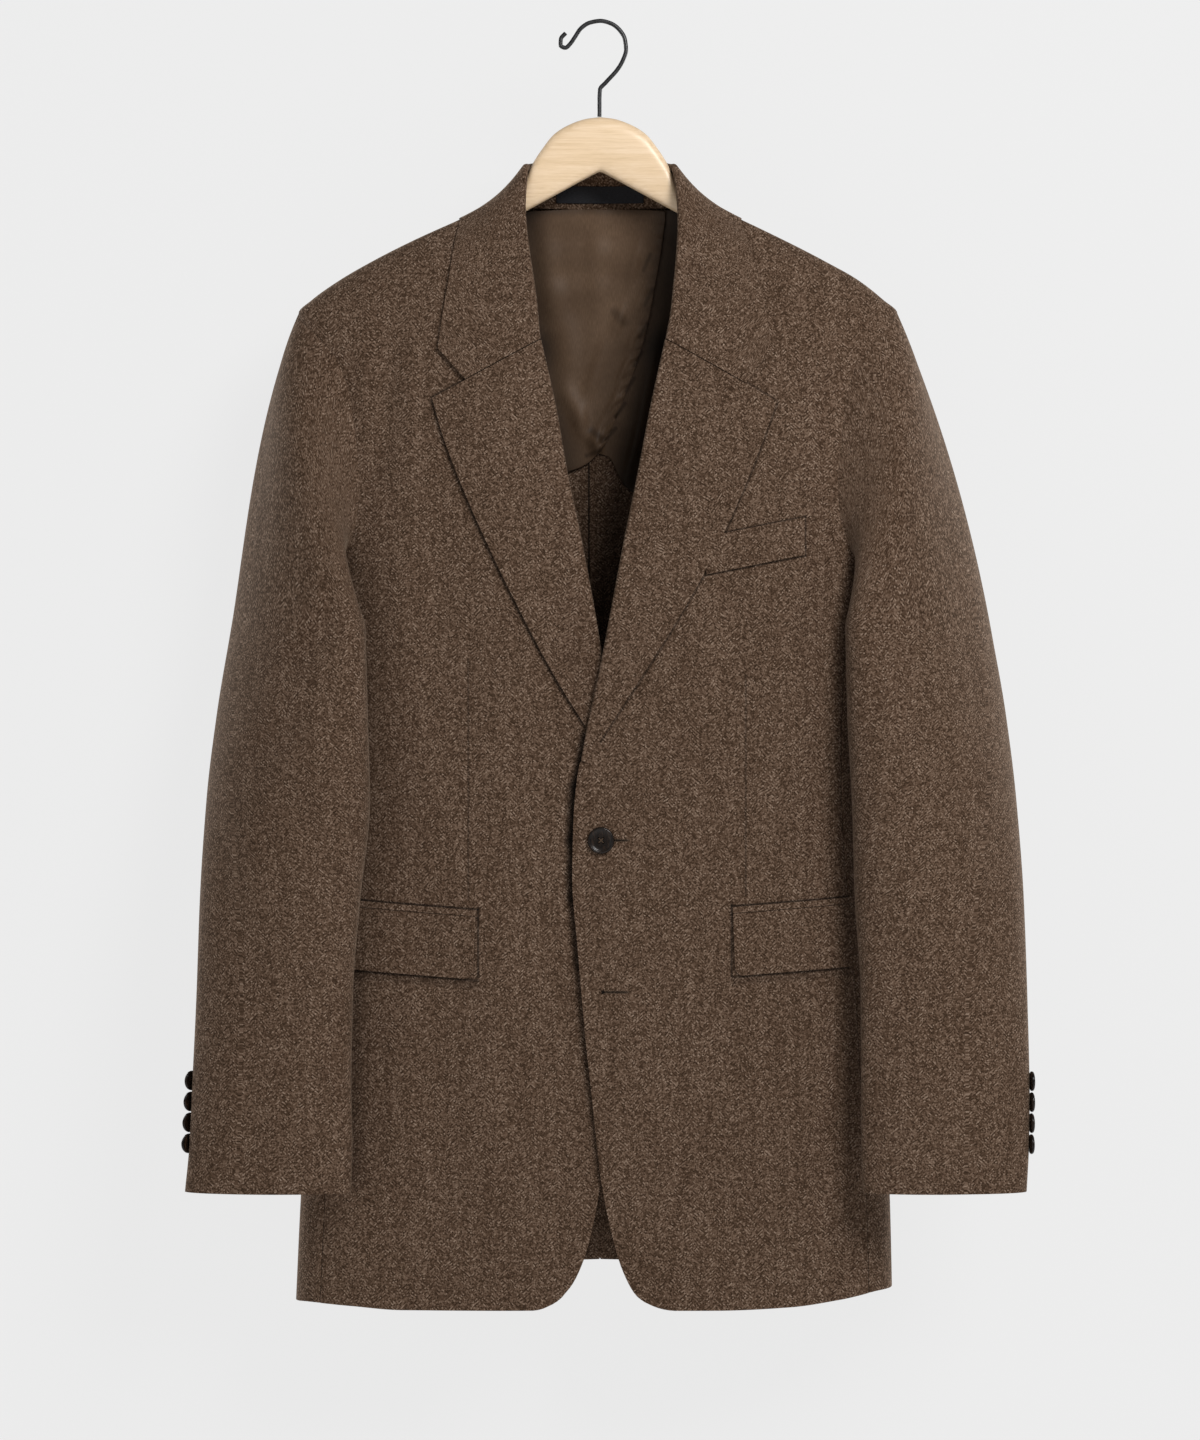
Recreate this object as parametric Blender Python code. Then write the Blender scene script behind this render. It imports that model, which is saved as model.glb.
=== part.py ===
"""A flannel sport jacket on a plain wooden hanger, as solids at their real size.

The origin is inside the top of the hook, where a rail bears on it. +Z is up, the front faces -Y,
and the wearer's left, which buttons over the right, is at +X. Every table below is in millimetres:
"out" runs from the centre line to either side, "deep" towards the back, "up" is the height.
"""

import math

import bpy
import numpy as np

MM = 0.001
RIGHT, LEFT = -1, 1  # the wearer's sides, as signs of X

# Cloth and gaps
CLOTH = 1.8  # the wall of a panel, flannel with its canvas
FACING = 1.6  # the wall of a collar, lapel, flap, jet or welt
SATIN = 1.0
SEAM_GAP = 0.3
LAID_GAP = 0.6  # between a panel and what lies on it
FOLD_RADIUS = 1.9  # of the middle of the cloth, where the lapels and the collar turn over
FOLD_UNDER = 4.0  # how far the turned-under edge of a lapel reaches back from the fold
LAPEL_LIFT = LAID_GAP + 2.2  # from the front to the middle of a lapel's free edge
COLLAR_LIFT = 2.9  # from the shoulders to the middle of the collar's fall
STAND_GAP_BACK, STAND_GAP_FRONT = 1.6, 0.6  # from the neck seam to the foot of the collar's stand

# Buttons, hanger and label
FRONT_BUTTON = 20.0
CUFF_BUTTON = 14.5
CUFF_BUTTON_PITCH = 15.2
LOWEST_CUFF_BUTTON = -833.5
BUTTON_HOLE_SPACING, THREAD_HOLE = 3.2, 1.8
WIRE = 3.2
LABEL_WIDTH, LABEL_HEIGHT, LABEL_WALL = 66.0, 13.0, 1.0
LABEL_BOTTOM = -131.5

# Turned profiles of the buttons: share of the radius, and height over the cloth
BUTTON_PROFILE = ((0.78, 0), (1, 1.3), (0.96, 3.2), (0.86, 3.6), (0.72, 2.7), (0.3, 2.4))
PLAIN_PROFILE = ((0.8, 0), (1, 1.2), (0.95, 3.0), (0.7, 3.2))
CUFF_PROFILE = ((0.8, 0), (1, 0.9), (0.96, 2.2), (0.74, 2.5))

# Grids: shared counts, so that both edges of a seam have the same points
SHOULDER_STEPS = 11
NECK_STEPS = 4
LOWER_STEPS = 18  # seven beside the fold of the lapel, and eleven below it
UNDERARM_STEPS = 4
CAP_STEPS = 7
ARMHOLE_SHARES = (0, 0.03, 0.075, 0.135, 0.215, 0.32, 0.44, 0.575, 0.72, 0.87, 1)
ROUND = np.arange(-16, 75) / 100  # places round a section, from the centre of one face


def table(columns, *rows):
    """Named columns, with a row for each section or point."""
    return dict(zip(columns.split(), np.array(rows, float).T))


# Horizontal sections of the body, from the hem to the neck. "square" is the exponent of the rounded
# outline. Between the underarm and the shoulder tip the sides are open, as the armholes.
BODY = table(
    "up right left front back square",
    (-966, 228, 219, 47, 46, 3.4),
    (-880, 224, 217, 49, 46, 3.3),
    (-800, 219, 213, 50, 45, 3.2),
    (-700, 210, 207, 49, 43, 3.1),
    (-580, 200, 198, 46, 38, 3.0),
    (-500, 199, 197, 49, 41, 2.9),
    (-420, 204, 202, 52, 44, 2.8),
    (-340, 212, 210, 51, 45, 2.8),
    (-268, 221, 218, 46, 44, 2.7),
    (-236, 226, 223, 41, 43, 2.6),
    (-218, 226, 223, 37, 42, 2.5),
    (-208, 216, 212.5, 34, 41, 2.5),
    (-193, 195, 193.5, 30, 40, 2.4),
    (-178, 169, 167, 26, 39, 2.4),
    (-163, 139.5, 138, 20, 37, 2.3),
    (-148, 106.5, 107, 15, 35, 2.3),
    (-134.5, 77, 77.5, 11, 33.5, 2.3),
)
NECK_UP, TIP_UP = -134.5, -218

# Soft drape folds: long ridges of the body, at a share of the way from centre front to centre back
DRAPE = table(
    "side share top bottom width ridge",
    (LEFT, 0.27, -330, -640, 0.045, 3.0),
    (LEFT, 0.33, -560, -960, 0.05, 3.5),
    (LEFT, 0.17, -700, -960, 0.05, -2.0),
    (RIGHT, 0.28, -340, -660, 0.05, 3.0),
    (RIGHT, 0.33, -600, -960, 0.05, 3.0),
    (RIGHT, 0.18, -640, -940, 0.05, -2.0),
    (LEFT, 0.76, -330, -900, 0.05, 3.5),
    (LEFT, 0.90, -480, -930, 0.05, -2.5),
    (RIGHT, 0.74, -300, -900, 0.05, 3.5),
    (RIGHT, 0.88, -520, -930, 0.05, -2.5),
)

# Heights of the hem at shares of the way from centre front to centre back
HEM = table(
    "share right left",
    (0.00, -959, -959),
    (0.15, -959, -959),
    (0.25, -959, -957),
    (0.33, -956.5, -952),
    (0.42, -955, -946.5),
    (0.50, -956, -945.5),
    (0.65, -948, -941),
    (0.85, -936, -935),
    (1.00, -933, -933),
)

# The armhole, from the shoulder tip down the front and up the back, and where the sleeve's cloth
# heads as it leaves the seam. A row each lies where the two side seams start.
ARMHOLE = table(
    "share up out deep rise",
    (0.500, -218, 0.42, 0.00, -0.91),
    (0.400, -236, 0.62, -0.30, -0.72),
    (0.352, -258, 0.80, -0.38, -0.45),
    (0.338, -295, 0.88, -0.36, -0.32),
    (0.337, -338, 0.86, -0.34, -0.38),
    (0.352, -374, 0.76, -0.38, -0.52),
    (0.400, -403, 0.55, -0.34, -0.76),
    (0.500, -418, 0.30, 0.00, -0.95),
    (0.600, -403, 0.52, 0.30, -0.80),
    (0.642, -370, 0.72, 0.32, -0.60),
    (0.655, -328, 0.86, 0.28, -0.40),
    (0.650, -285, 0.86, 0.30, -0.40),
    (0.620, -250, 0.74, 0.30, -0.60),
    (0.570, -230, 0.58, 0.20, -0.78),
    (0.500, -218, 0.42, 0.00, -0.91),
)
FRONT_SEAM_ROW, BACK_SEAM_ROW = 6, 8
UNDERARM_LEVEL = -400  # where the centre-back seam has as many points above it as the armhole

# Side seams: shares at the underarm, the waist and the hem
SIDE_SEAMS = table(
    "up front back",
    (-960, 0.390, 0.640),
    (-780, 0.385, 0.630),
    (-580, 0.380, 0.610),
    (-403, 0.400, 0.600),
)

# The neck seam from the shoulder down the front, hidden under the collar, then along the back
NECK_FRONT = table("out up", (77, -134.5), (79, -148), (73, -172), (63, -206), (52.6, -240))
NECK_BACK = table("out up", (77, -134.5), (64, -136), (36, -137), (0, -137.5))

# The fold of collar and lapel as seen from the front, down to the break above the button
FOLD_LINE = {
    LEFT: table(
        "out up",
        (52.5, -106), (55, -120), (57.5, -150), (53, -213), (48.3, -240), (41, -272), (27, -344),
        (12.5, -416), (1.5, -478), (-5, -505), (-11.5, -538), (-14, -552),
    ),
    RIGHT: table(
        "out up",
        (53, -106), (54, -120), (55, -140), (46.5, -213), (43.7, -240), (36, -272), (24.4, -337),
        (12.6, -394), (-0.7, -468), (-7, -510), (-11.5, -540), (-13.5, -552),
    ),
}  # fmt: skip

# Heights at which the fronts are divided beside the fold, and the free edge below it: past the
# buttons, round the cutaway and onto the hem
FOLD_UPS = (-290, -340, -390, -440, -490, -530, -552.5)
FRONT_EDGE = {
    LEFT: table(
        "out up",
        (-17.5, -561), (-20.5, -595), (-20.5, -640), (-16.5, -692), (-11.5, -750), (-5.5, -806),
        (0.7, -862), (8, -899), (17, -930), (30, -950.5), (53, -957.5),
    ),
    RIGHT: table(
        "out up",
        (-17, -561), (-20, -595), (-20.5, -640), (-19, -690), (-15.5, -745), (-9, -806),
        (-1, -862), (5, -895), (12.5, -923), (25, -945.5), (47, -957.5),
    ),
}  # fmt: skip

# Lapel edges, from the point at the notch to the break, and the ends of the collar
LAPEL_EDGE = {
    LEFT: table(
        "out up", (130.6, -287.3), (111.4, -339), (76, -415.7), (21.4, -505), (-8, -553)
    ),
    RIGHT: table(
        "out up", (124, -285), (115, -316), (44.3, -471), (10.3, -528), (-7, -553)
    ),
}
NOTCH = {LEFT: (108.1, -273.9), RIGHT: (99.2, -271.7)}

# How far the wearer's right front lies behind the left, which covers it
SET_BACK = table(
    "up by", (-966, 2.5), (-870, 4), (-740, 8), (-300, 8), (-236, 3), (-134.5, 0)
)
SET_BACK_FROM, SET_BACK_TO = -80, -8  # the X between which it comes in

# Sections of the collar from centre back to the gorge: its seam is the neck seam, and these are
# the fold and the free edge. "swell" is how far the fall bows out between them, and "turn" the
# heading, seen from the top, of the side that shows.
COLLAR = table(
    "share fold_out fold_deep fold_up edge_right edge_left edge_deep edge_up swell turn",
    (0.00, 0, 34.5, -101, 0, 0, 42, -157, 2.2, 90),
    (0.14, 30, 31.0, -101, 44, 44, 41, -157, 2.0, 86),
    (0.26, 48, 19.5, -104.5, 78, 78, 34, -154, -0.5, 60),
    (0.35, 54, 6.5, -107.5, 96, 96, 15, -147, -4.0, 18),
    (0.43, 55.5, -4.5, -109, 103, 103.5, -3, -147, -4.5, -22),
    (0.50, 57, -13.0, -118, 106, 107, -13, -157, -2.5, -55),
    (0.58, 58, -19.5, -143, 109, 112, -21, -172, -0.5, -76),
    (0.70, 56.5, -26.5, -176, 112.5, 118, -28, -196, 0, -90),
    (0.84, 53, -33, -210, 116.5, 123, -31, -222, 0, -90),
    (1.00, 48.3, -40.0, -240, 120, 127.4, -34, -248, 0, -90),
)
NECK_POINT = 0.4  # the share at which the collar passes the shoulder seam
COLLAR_FRONT_STATIONS = (2, 4, 5, 6, 7, 8, 9, 10)  # of the points down the front's neck

# Sleeves below the armhole: where their sides, front and back lie. "lean" turns the section, so
# that its inner edge comes forward and its outer edge goes back.
SLEEVE = table(
    "up in_right in_left out_right out_left front back lean",
    (-868, 182, 192, 304.0, 312.5, -92, -54, 8),
    (-834, 181, 191, 301.0, 314.5, -92, -50, 9),
    (-790, 182, 191, 299.5, 315.5, -91, -43, 12),
    (-724, 181, 191, 297.5, 315.0, -89, -30, 18),
    (-656, 176, 187, 296.5, 314.0, -86, -14, 24),
    (-582, 169, 185, 293.5, 310.5, -80, 4, 32),
    (-518, 171, 182, 287.5, 304.5, -72, 20, 38),
    (-455, 173, 181, 278.5, 295.0, -64, 34, 42),
)
SLEEVE_TOP = -455
SLEEVE_UPS = (-455, -486, -518, -550, -582, -619, -656, -690, -724, -757, -790, -834, -868)
BACK_SEAM_STEPS_UP = 4  # from the side seam up the back of the armhole to the sleeve's back seam
SEAM_LEAD_TOP = 58  # degrees by which the back seam lies behind the outer edge
SEAM_LEAD_CUFF = {RIGHT: 8, LEFT: -6}
BODY_CLEARANCE = 4.5  # from the body to a sleeve that lies along it

# Soft bends of the sleeves: a ridge across the section at a height, on the front or outer side
SLEEVE_FOLDS = table(
    "side up height heading width ridge",
    (RIGHT, -560, 55, 270, 70, 3.5),
    (RIGHT, -690, 45, 300, 60, -3.0),
    (LEFT, -600, 60, 265, 60, 3.5),
    (LEFT, -740, 50, 250, 60, -3.0),
)

# Pockets, on the fronts: the inner end of each, its slope and its size
POCKET = {
    RIGHT: {"out": 90.8, "up": -668.2},
    LEFT: {"out": 98.0, "up": -665.8},
}
POCKET_RISE = 0.075  # the outer end is higher
POCKET_END_SHARE = 0.47
FLAP_HEIGHT, JET_HEIGHT, FLAP_CORNER = 46.0, 4.6, 5.0
WELT = {"inner": 78.0, "outer": 151.0, "up": -373.0, "rise": 0.2, "height": 28.0}

FRONT_BUTTON_AT = (0.7, -611.6)
LOWER_BUTTON_AT = (2.0, -721.0)

# Half linings of the back: the right one lies over the left one, its edge falls from the neck
LINING_OVERLAP_EDGE = table("out up", (51, -140), (45.6, -173), (34, -232), (16, -284), (4, -314))
LINING_INNER_EDGE = table("out up", (-30, -140), (-22, -318))  # of the left lining, hidden
LINING_SIDE = 165.0
LINING_TOP, LINING_BELOW_SHOULDER = -141.0, 12.0
LINING_HEM = {
    RIGHT: table("out up", (165, -352), (90, -343), (23, -333.5), (10, -328), (-4, -314)),
    LEFT: table("out up", (-22, -318), (5, -322), (18, -344), (60, -368), (165, -392)),
}
LINING_DEPTH = {RIGHT: 4.9, LEFT: 3.2}  # from the outside of the back to the lining's own back

# The hanger: its wooden arms, and the wire hook
DOME = table(
    "out up",
    (0, -70.6), (10, -71.8), (22, -75.8), (34, -83), (43, -94), (51, -106.5), (55.5, -117),
    (57.3, -123), (60, -128), (68, -136.5), (80, -143.5),
)  # fmt: skip
ARM_UNDER_SHOULDER = table("out down", (80, 8), (100, 5.5), (130, 3.8), (203, 3.2))
WOOD_SLIMNESS = table("out by", (0, 1), (50, 1), (62, 0.8), (104, 0.85), (140, 1), (185, 1), (203, 0.65))
WOOD_BOTTOM, WOOD_BOTTOM_SLOPE = -112.0, 0.545
WOOD_SECTION = table(
    "down half", (0, 1.5), (1.6, 4.2), (5, 6.4), (12, 7.5), (20, 6.2), (24, 2.5)
)
WOOD_STATIONS = (0, 14, 26, 36, 44, 50, 54, 57.3, 62, 70, 82, 102, 126, 148, 168, 184, 196, 203)
HOOK_STEM = ((-0.4, -70.2), (-0.4, -58.0), (0.0, -50.0), (4.5, -44.5), (13.0, -35.0))
HOOK_RADIUS, HOOK_CENTRE = 20.0, (-0.4, -18.4)
HOOK_FROM, HOOK_TO = -28, 157  # degrees from +X
HOOK_CURL = ((-22.5, -15.8), (-26.0, -18.6), (-29.6, -16.8), (-29.3, -12.0), (-25.8, -7.6))
HOOK_POINTS = 28

FLANNEL, FLANNEL_DARK = (0.098, 0.063, 0.042), (0.085, 0.056, 0.038)
SATIN_BROWN, HORN = (0.083, 0.053, 0.033), (0.035, 0.022, 0.016)
BEECH, BLACK_STEEL, LABEL_CLOTH = (0.80, 0.62, 0.43), (0.012, 0.012, 0.013), (0.016, 0.017, 0.021)


# Curves through points


def smooth(values, known, results):
    """A curve through the known points that never swings past them, read at the values."""
    steps, rises = np.diff(known), np.diff(results)
    slopes = rises / steps
    product = slopes[1:] * slopes[:-1]
    inner = np.where(product > 0, 2 * product / (slopes[1:] + slopes[:-1] + 1e-30), 0)
    tangents = np.concatenate([slopes[:1], inner, slopes[-1:]])
    values = np.clip(values, known[0], known[-1])
    i = np.clip(np.searchsorted(known, values) - 1, 0, len(known) - 2)
    t = (values - known[i]) / steps[i]
    ease = t * t * (3 - 2 * t)
    start, end = tangents[i] * steps[i], tangents[i + 1] * steps[i]
    return results[i] + ease * rises[i] + t * (1 - t) * ((1 - t) * start - t * end)


def knots(points):
    """The share of the whole length at which each point of a line lies."""
    lengths = np.linalg.norm(np.diff(points, axis=0), axis=1)
    return np.concatenate([[0], np.cumsum(lengths)]) / lengths.sum()


def along(points, shares):
    """Points at shares of the length of a smooth line through the given points."""
    points = np.asarray(points, float)
    return np.stack([smooth(np.asarray(shares), knots(points), axis) for axis in points.T], -1)


def rows_of(columns, *names):
    return np.stack([columns[name] for name in names], -1)


def unit(vectors):
    return vectors / np.maximum(np.linalg.norm(vectors, axis=-1, keepdims=True), 1e-9)


def mix(start, end, share):
    return start + (end - start) * share


def ease(value, low, high):
    t = np.clip((value - low) / (high - low), 0, 1)
    return t * t * (3 - 2 * t)


# The body's surface


def section(column, up):
    return smooth(up, BODY["up"], BODY[column])


def half_width(side, up):
    return np.where(side < 0, section("right", up), section("left", up))


def drape(around, up):
    """How far the folds lift the cloth at a place on the body."""
    lift = np.zeros(np.broadcast(around, up).shape)
    for side, share, top, bottom, width, ridge in zip(*DRAPE.values()):
        across = np.exp(-(((around - side * share) / width) ** 2))
        lift += ridge * across * ease(up, top, top - 120) * ease(up, bottom - 40, bottom + 120)
    return lift


def body(around, up):
    """The outside of the body: around is 0 at centre front, +1 or -1 at centre back."""
    around = (np.asarray(around, float) + 1) % 2 - 1
    up = np.asarray(up, float)
    share = np.abs(around)
    quarter = 1 - np.abs(1 - 2 * share)
    square = section("square", up)
    angle = math.pi / 2 * quarter ** (square / 2)
    side = np.where(around < 0, -1, 1)
    out = half_width(side, up) * np.sin(angle) ** (2 / square)
    level = np.maximum(np.cos(angle), 0) ** (2 / square)
    lift = drape(around, up) * level
    deep = np.where(share < 0.5, -section("front", up) * level - lift, section("back", up) * level + lift)
    return np.stack(np.broadcast_arrays(side * out, deep, up), -1)


def around_at(out, up, side, face):
    """The place around the body of a point seen from the front (face -1) or the back (face 1)."""
    x = np.asarray(out, float) * side
    sign = np.where(x < 0, -1, 1)
    square = section("square", up)
    ratio = np.clip(np.abs(x) / half_width(sign, up), 0, 1)
    quarter = (np.arcsin(ratio ** (square / 2)) / (math.pi / 2)) ** (2 / square)
    share = quarter / 2 if face < 0 else 1 - quarter / 2
    around = sign * share
    if face > 0:
        around = np.where(sign != side, around + 2 * side, around)
    return around


def set_back(x, up):
    """How far the right front lies in from the common surface."""
    return smooth(up, SET_BACK["up"], SET_BACK["by"]) * ease(x, SET_BACK_FROM, SET_BACK_TO)


def panel_surface(side):
    """The outside of one side's panels, as a function of the place around and the height."""

    def surface(around, up):
        points = body(around, up)
        if side == RIGHT:
            in_front = np.asarray(around, float) > -0.5
            points[..., 1] += np.where(in_front, set_back(points[..., 0], points[..., 2]), 0)
        return points

    return surface


def front_point(side, out, up, lift=0.0):
    """A point on one front, moved out by lift, from its place in the front view."""
    around = around_at(out, up, side, -1)
    around = np.where(np.asarray(out) < 0, -np.abs(around) * side, around)
    return moved_out(panel_surface(side), around, up, lift)


def normals(surface, around, up):
    step_around, step_up = 0.004, 1.0
    low, high = surface(around - step_around, up), surface(around + step_around, up)
    below, above = surface(around, up - step_up), surface(around, up + step_up)
    return unit(np.cross(high - low, above - below))


def moved_out(surface, around, up, lift):
    around, up = np.broadcast_arrays(np.asarray(around, float), np.asarray(up, float))
    lift = np.asarray(lift, float)[..., None] if np.ndim(lift) else lift
    return surface(around, up) + lift * normals(surface, around, up)


def clear_of_body(points, clearance):
    """Points moved out, along their own height, until they clear the body."""
    points = np.array(points, float)
    up = points[..., 2]
    on_shoulder = ease(up, TIP_UP - 20, TIP_UP + 10)
    width = half_width(np.sign(points[..., 0]), up) + clearance * (1 + on_shoulder)
    depth = np.where(points[..., 1] < 0, section("front", up), section("back", up)) + clearance
    square = section("square", up)
    reach = (np.abs(points[..., 0]) / width) ** square + (np.abs(points[..., 1]) / depth) ** square
    inside = (reach < 1) & (up < NECK_UP)
    grow = np.where(inside, np.maximum(reach, 1e-6) ** (-1 / square), 1)
    ratio = np.minimum(np.abs(points[..., 0]) / width, 0.98)
    level = np.where(points[..., 1] < 0, -1, 1) * depth * (1 - ratio**square) ** (1 / square)
    sideways = ease(ratio, 0.7, 0.95)
    deep = np.where(inside, mix(level, points[..., 1] * grow, sideways), points[..., 1])
    points[..., 0] *= mix(1, grow, sideways)
    points[..., 1] = deep
    return points


# Meshes


def material(name, colour, roughness=0.9, metallic=0.0):
    made = bpy.data.materials.get(name) or bpy.data.materials.new(name)
    made.use_nodes = True
    shader = made.node_tree.nodes["Principled BSDF"]
    shader.inputs["Base Color"].default_value = (*colour, 1)
    shader.inputs["Roughness"].default_value = roughness
    shader.inputs["Metallic"].default_value = metallic
    return made


def volume(points, faces):
    """Positive if the faces of a closed mesh point outwards."""
    return sum(
        np.dot(points[face[0]], np.cross(points[face[k]], points[face[k + 1]]))
        for face in faces
        for k in range(1, len(face) - 1)
    )


def add_mesh(name, points, faces, look):
    if volume(points, faces) < 0:
        faces = [face[::-1] for face in faces]
    mesh = bpy.data.meshes.new(name)
    mesh.from_pydata([tuple(point) for point in np.asarray(points) * MM], [], faces)
    mesh.materials.append(look)
    mesh.shade_smooth()
    mesh.set_sharp_from_angle(angle=math.radians(40))
    made = bpy.data.objects.new(name, mesh)
    bpy.context.scene.collection.objects.link(made)
    return made


def add_wall(name, outer, inner, look):
    """A closed wall between two grids of the same shape."""
    rows, columns = outer.shape[:2]
    count = rows * columns
    points = np.concatenate([outer.reshape(-1, 3), inner.reshape(-1, 3)])
    index = np.arange(count).reshape(rows, columns)
    faces = []
    for i in range(rows - 1):
        for j in range(columns - 1):
            cell = index[i, j], index[i, j + 1], index[i + 1, j + 1], index[i + 1, j]
            for a, b, c in split(points, cell):
                faces.append((a, b, c))
                faces.append((c + count, b + count, a + count))
    rim = [*index[0, :], *index[1:, -1], *index[-1, -2::-1], *index[-2:0:-1, 0]]
    for a, b in zip(rim, rim[1:] + rim[:1]):
        faces.extend(split(points, (b, a, a + count, b + count)))
    return add_mesh(name, points, faces, look)


def split(points, cell):
    """Two triangles across the shorter diagonal, so that both sides of a wall fold alike."""
    a, b, c, d = (int(k) for k in cell)
    if np.linalg.norm(points[a] - points[c]) <= np.linalg.norm(points[b] - points[d]):
        return [(a, b, c), (a, c, d)]
    return [(a, b, d), (b, c, d)]


def trimmed(outer, inner, edges, gap=SEAM_GAP / 2):
    """Both grids drawn in from the named edges, in the surface and square to each edge."""
    rows, columns = outer.shape[:2]
    index = np.arange(rows * columns).reshape(rows, columns)
    lines = {
        "top": (index[0], index[1]),
        "bottom": (index[-1], index[-2]),
        "start": (index[:, 0], index[:, 1]),
        "end": (index[:, -1], index[:, -2]),
    }
    points = outer.reshape(-1, 3)
    across = unit(outer - inner).reshape(-1, 3)
    inward = {}
    for edge in edges:
        line, beside = lines[edge]
        for a, b, c, d in zip(line, line[1:], beside, beside[1:]):
            square = unit(np.cross(across[a] + across[b], points[b] - points[a]))
            square = square * np.sign(square @ (points[c] + points[d] - points[a] - points[b]))
            inward.setdefault(a, []).append(square)
            inward.setdefault(b, []).append(square)
    moves = np.zeros_like(points)
    for k, squares in inward.items():
        first, last = squares[0], squares[-1]
        moves[k] = gap * (first + last) / max(1 + first @ last, 0.4)
    moves = moves.reshape(outer.shape)
    return outer + moves, inner + moves


def coons(top, bottom, start, end):
    """A grid between four edges. top and bottom run from start to end."""
    u = np.linspace(0, 1, len(top))[None, :, None]
    v = np.linspace(0, 1, len(start))[:, None, None]
    ruled = (1 - v) * top[None] + v * bottom[None] + (1 - u) * start[:, None] + u * end[:, None]
    corners = (1 - u) * (1 - v) * top[0] + u * (1 - v) * top[-1]
    corners = corners + (1 - u) * v * bottom[0] + u * v * bottom[-1]
    return ruled - corners


def lengths_round(face, side, up):
    """Lengths along sections of the body, from the centre of one face to the places of ROUND."""
    around = side * ROUND if face < 0 else side * (1 - ROUND)
    points = body(around[None], np.asarray(up, float)[:, None])
    steps = np.linalg.norm(np.diff(points, axis=1), axis=-1)
    lengths = np.concatenate([np.zeros((len(up), 1)), np.cumsum(steps, 1)], 1)
    return lengths - lengths[:, ROUND == 0]


def flat(face, side, places):
    """Places around and up, as lengths along their sections and up."""
    share = places[:, 0] * side if face < 0 else 1 - places[:, 0] * side
    lengths = lengths_round(face, side, places[:, 1])
    return np.array([(np.interp(s, ROUND, row), up) for s, row, up in zip(share, lengths, places[:, 1])])


def from_flat(face, side, spots):
    lengths = lengths_round(face, side, spots[:, 1])
    share = np.array([np.interp(spot[0], row, ROUND) for spot, row in zip(spots, lengths)])
    return np.stack([side * (share if face < 0 else 1 - share), spots[:, 1]], -1)


def patch(face, side, top, bottom, start, end):
    """A grid of places around and up between four edges, evenly spaced over the cloth."""
    edges = (top, bottom, start, end)
    spots = coons(*(flat(face, side, edge) for edge in edges))
    places = from_flat(face, side, spots.reshape(-1, 2)).reshape(spots.shape)
    places[0], places[-1], places[:, 0], places[:, -1] = edges
    return places


def hem_line(face, side, start, end, count):
    """Places along the hem between two places, evenly spaced."""
    ends = flat(face, side, np.array([start, end]))
    spots = np.linspace(ends[0], ends[1], count)
    places = from_flat(face, side, spots)
    places[:, 1] = hem_up(side, places[:, 0])
    places[0], places[-1] = start, end
    return places


def add_panel(name, side, places, edges, look, rim_normals=None):
    """A body panel from its grid of places around and up."""
    surface = panel_surface(side)
    around, up = places[..., 0], places[..., 1]
    outer = surface(around, up)
    across = normals(surface, around, up)
    if rim_normals is not None:
        for line, values in rim_normals:
            across[line] = values
    outer, inner = trimmed(outer, outer - CLOTH * across, edges)
    return add_wall(name, outer, inner, look)


# Seam lines, as places around and up


def hem_up(side, share):
    return smooth(np.abs(share), HEM["share"], HEM["left" if side == LEFT else "right"])


def armhole_knots():
    places = rows_of(ARMHOLE, "share", "up")
    return knots(np.stack([places[:, 0] * 500, places[:, 1]], -1))


def armhole(stretch):
    """Rows of the armhole table, smoothed, at the points of one stretch: front, under or back."""
    at = armhole_knots()
    ends = {
        "front": (0, at[FRONT_SEAM_ROW], np.array(ARMHOLE_SHARES)),
        "under": (at[FRONT_SEAM_ROW], at[BACK_SEAM_ROW], np.linspace(0, 1, UNDERARM_STEPS + 1)),
        "back": (at[BACK_SEAM_ROW], 1, 1 - np.array(ARMHOLE_SHARES)[::-1]),
    }
    low, high, shares = ends[stretch]
    where = mix(low, high, shares)
    return np.stack([smooth(where, at, column) for column in ARMHOLE.values()], -1)


def armhole_places(side, stretch):
    rows = armhole(stretch)
    return np.stack([rows[:, 0] * side, rows[:, 1]], -1)


def armhole_ring(side):
    """Points of the armhole, where the sleeve heads from each, and the mitre of the two cloths."""
    rows = np.concatenate([armhole("front")[:-1], armhole("under")[:-1], armhole("back")[:-1]])
    surface = panel_surface(side)
    points = surface(rows[:, 0] * side, rows[:, 1])
    body_out = normals(surface, rows[:, 0] * side, rows[:, 1])
    heading = unit(np.stack([rows[:, 2] * side, rows[:, 3], rows[:, 4]], -1))
    tangent = unit(np.roll(points, -1, 0) - np.roll(points, 1, 0))
    sleeve_out = unit(np.cross(tangent, heading)) * side
    return points, heading, unit(body_out + sleeve_out)


def side_seam(side, which):
    """From the armhole to the hem, with its points a little closer together at the top."""
    even = np.linspace(0, 1, LOWER_STEPS + 1)
    eased = 1 - np.cos(even * math.radians(81))
    shares = mix(even, eased / eased[-1], 0.35)
    start = armhole("under")[0 if which == "front" else -1]
    first = start[1]
    low = smooth(np.array([SIDE_SEAMS["up"][0]]), SIDE_SEAMS["up"], SIDE_SEAMS[which])[0]
    last = hem_up(side, low)
    ups = mix(first, last, shares)
    around = smooth(ups, SIDE_SEAMS["up"], SIDE_SEAMS[which])
    around[0] = start[0]
    return np.stack([around * side, ups], -1)


def shoulder_seam(side):
    """From the neck point to the shoulder tip."""
    ups = np.linspace(NECK_UP, TIP_UP, 40)
    line = along(body(np.full(40, 0.5) * side, ups), np.linspace(0, 1, SHOULDER_STEPS + 1))
    return np.stack([np.full(SHOULDER_STEPS + 1, 0.5 * side), line[:, 2]], -1)


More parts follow.
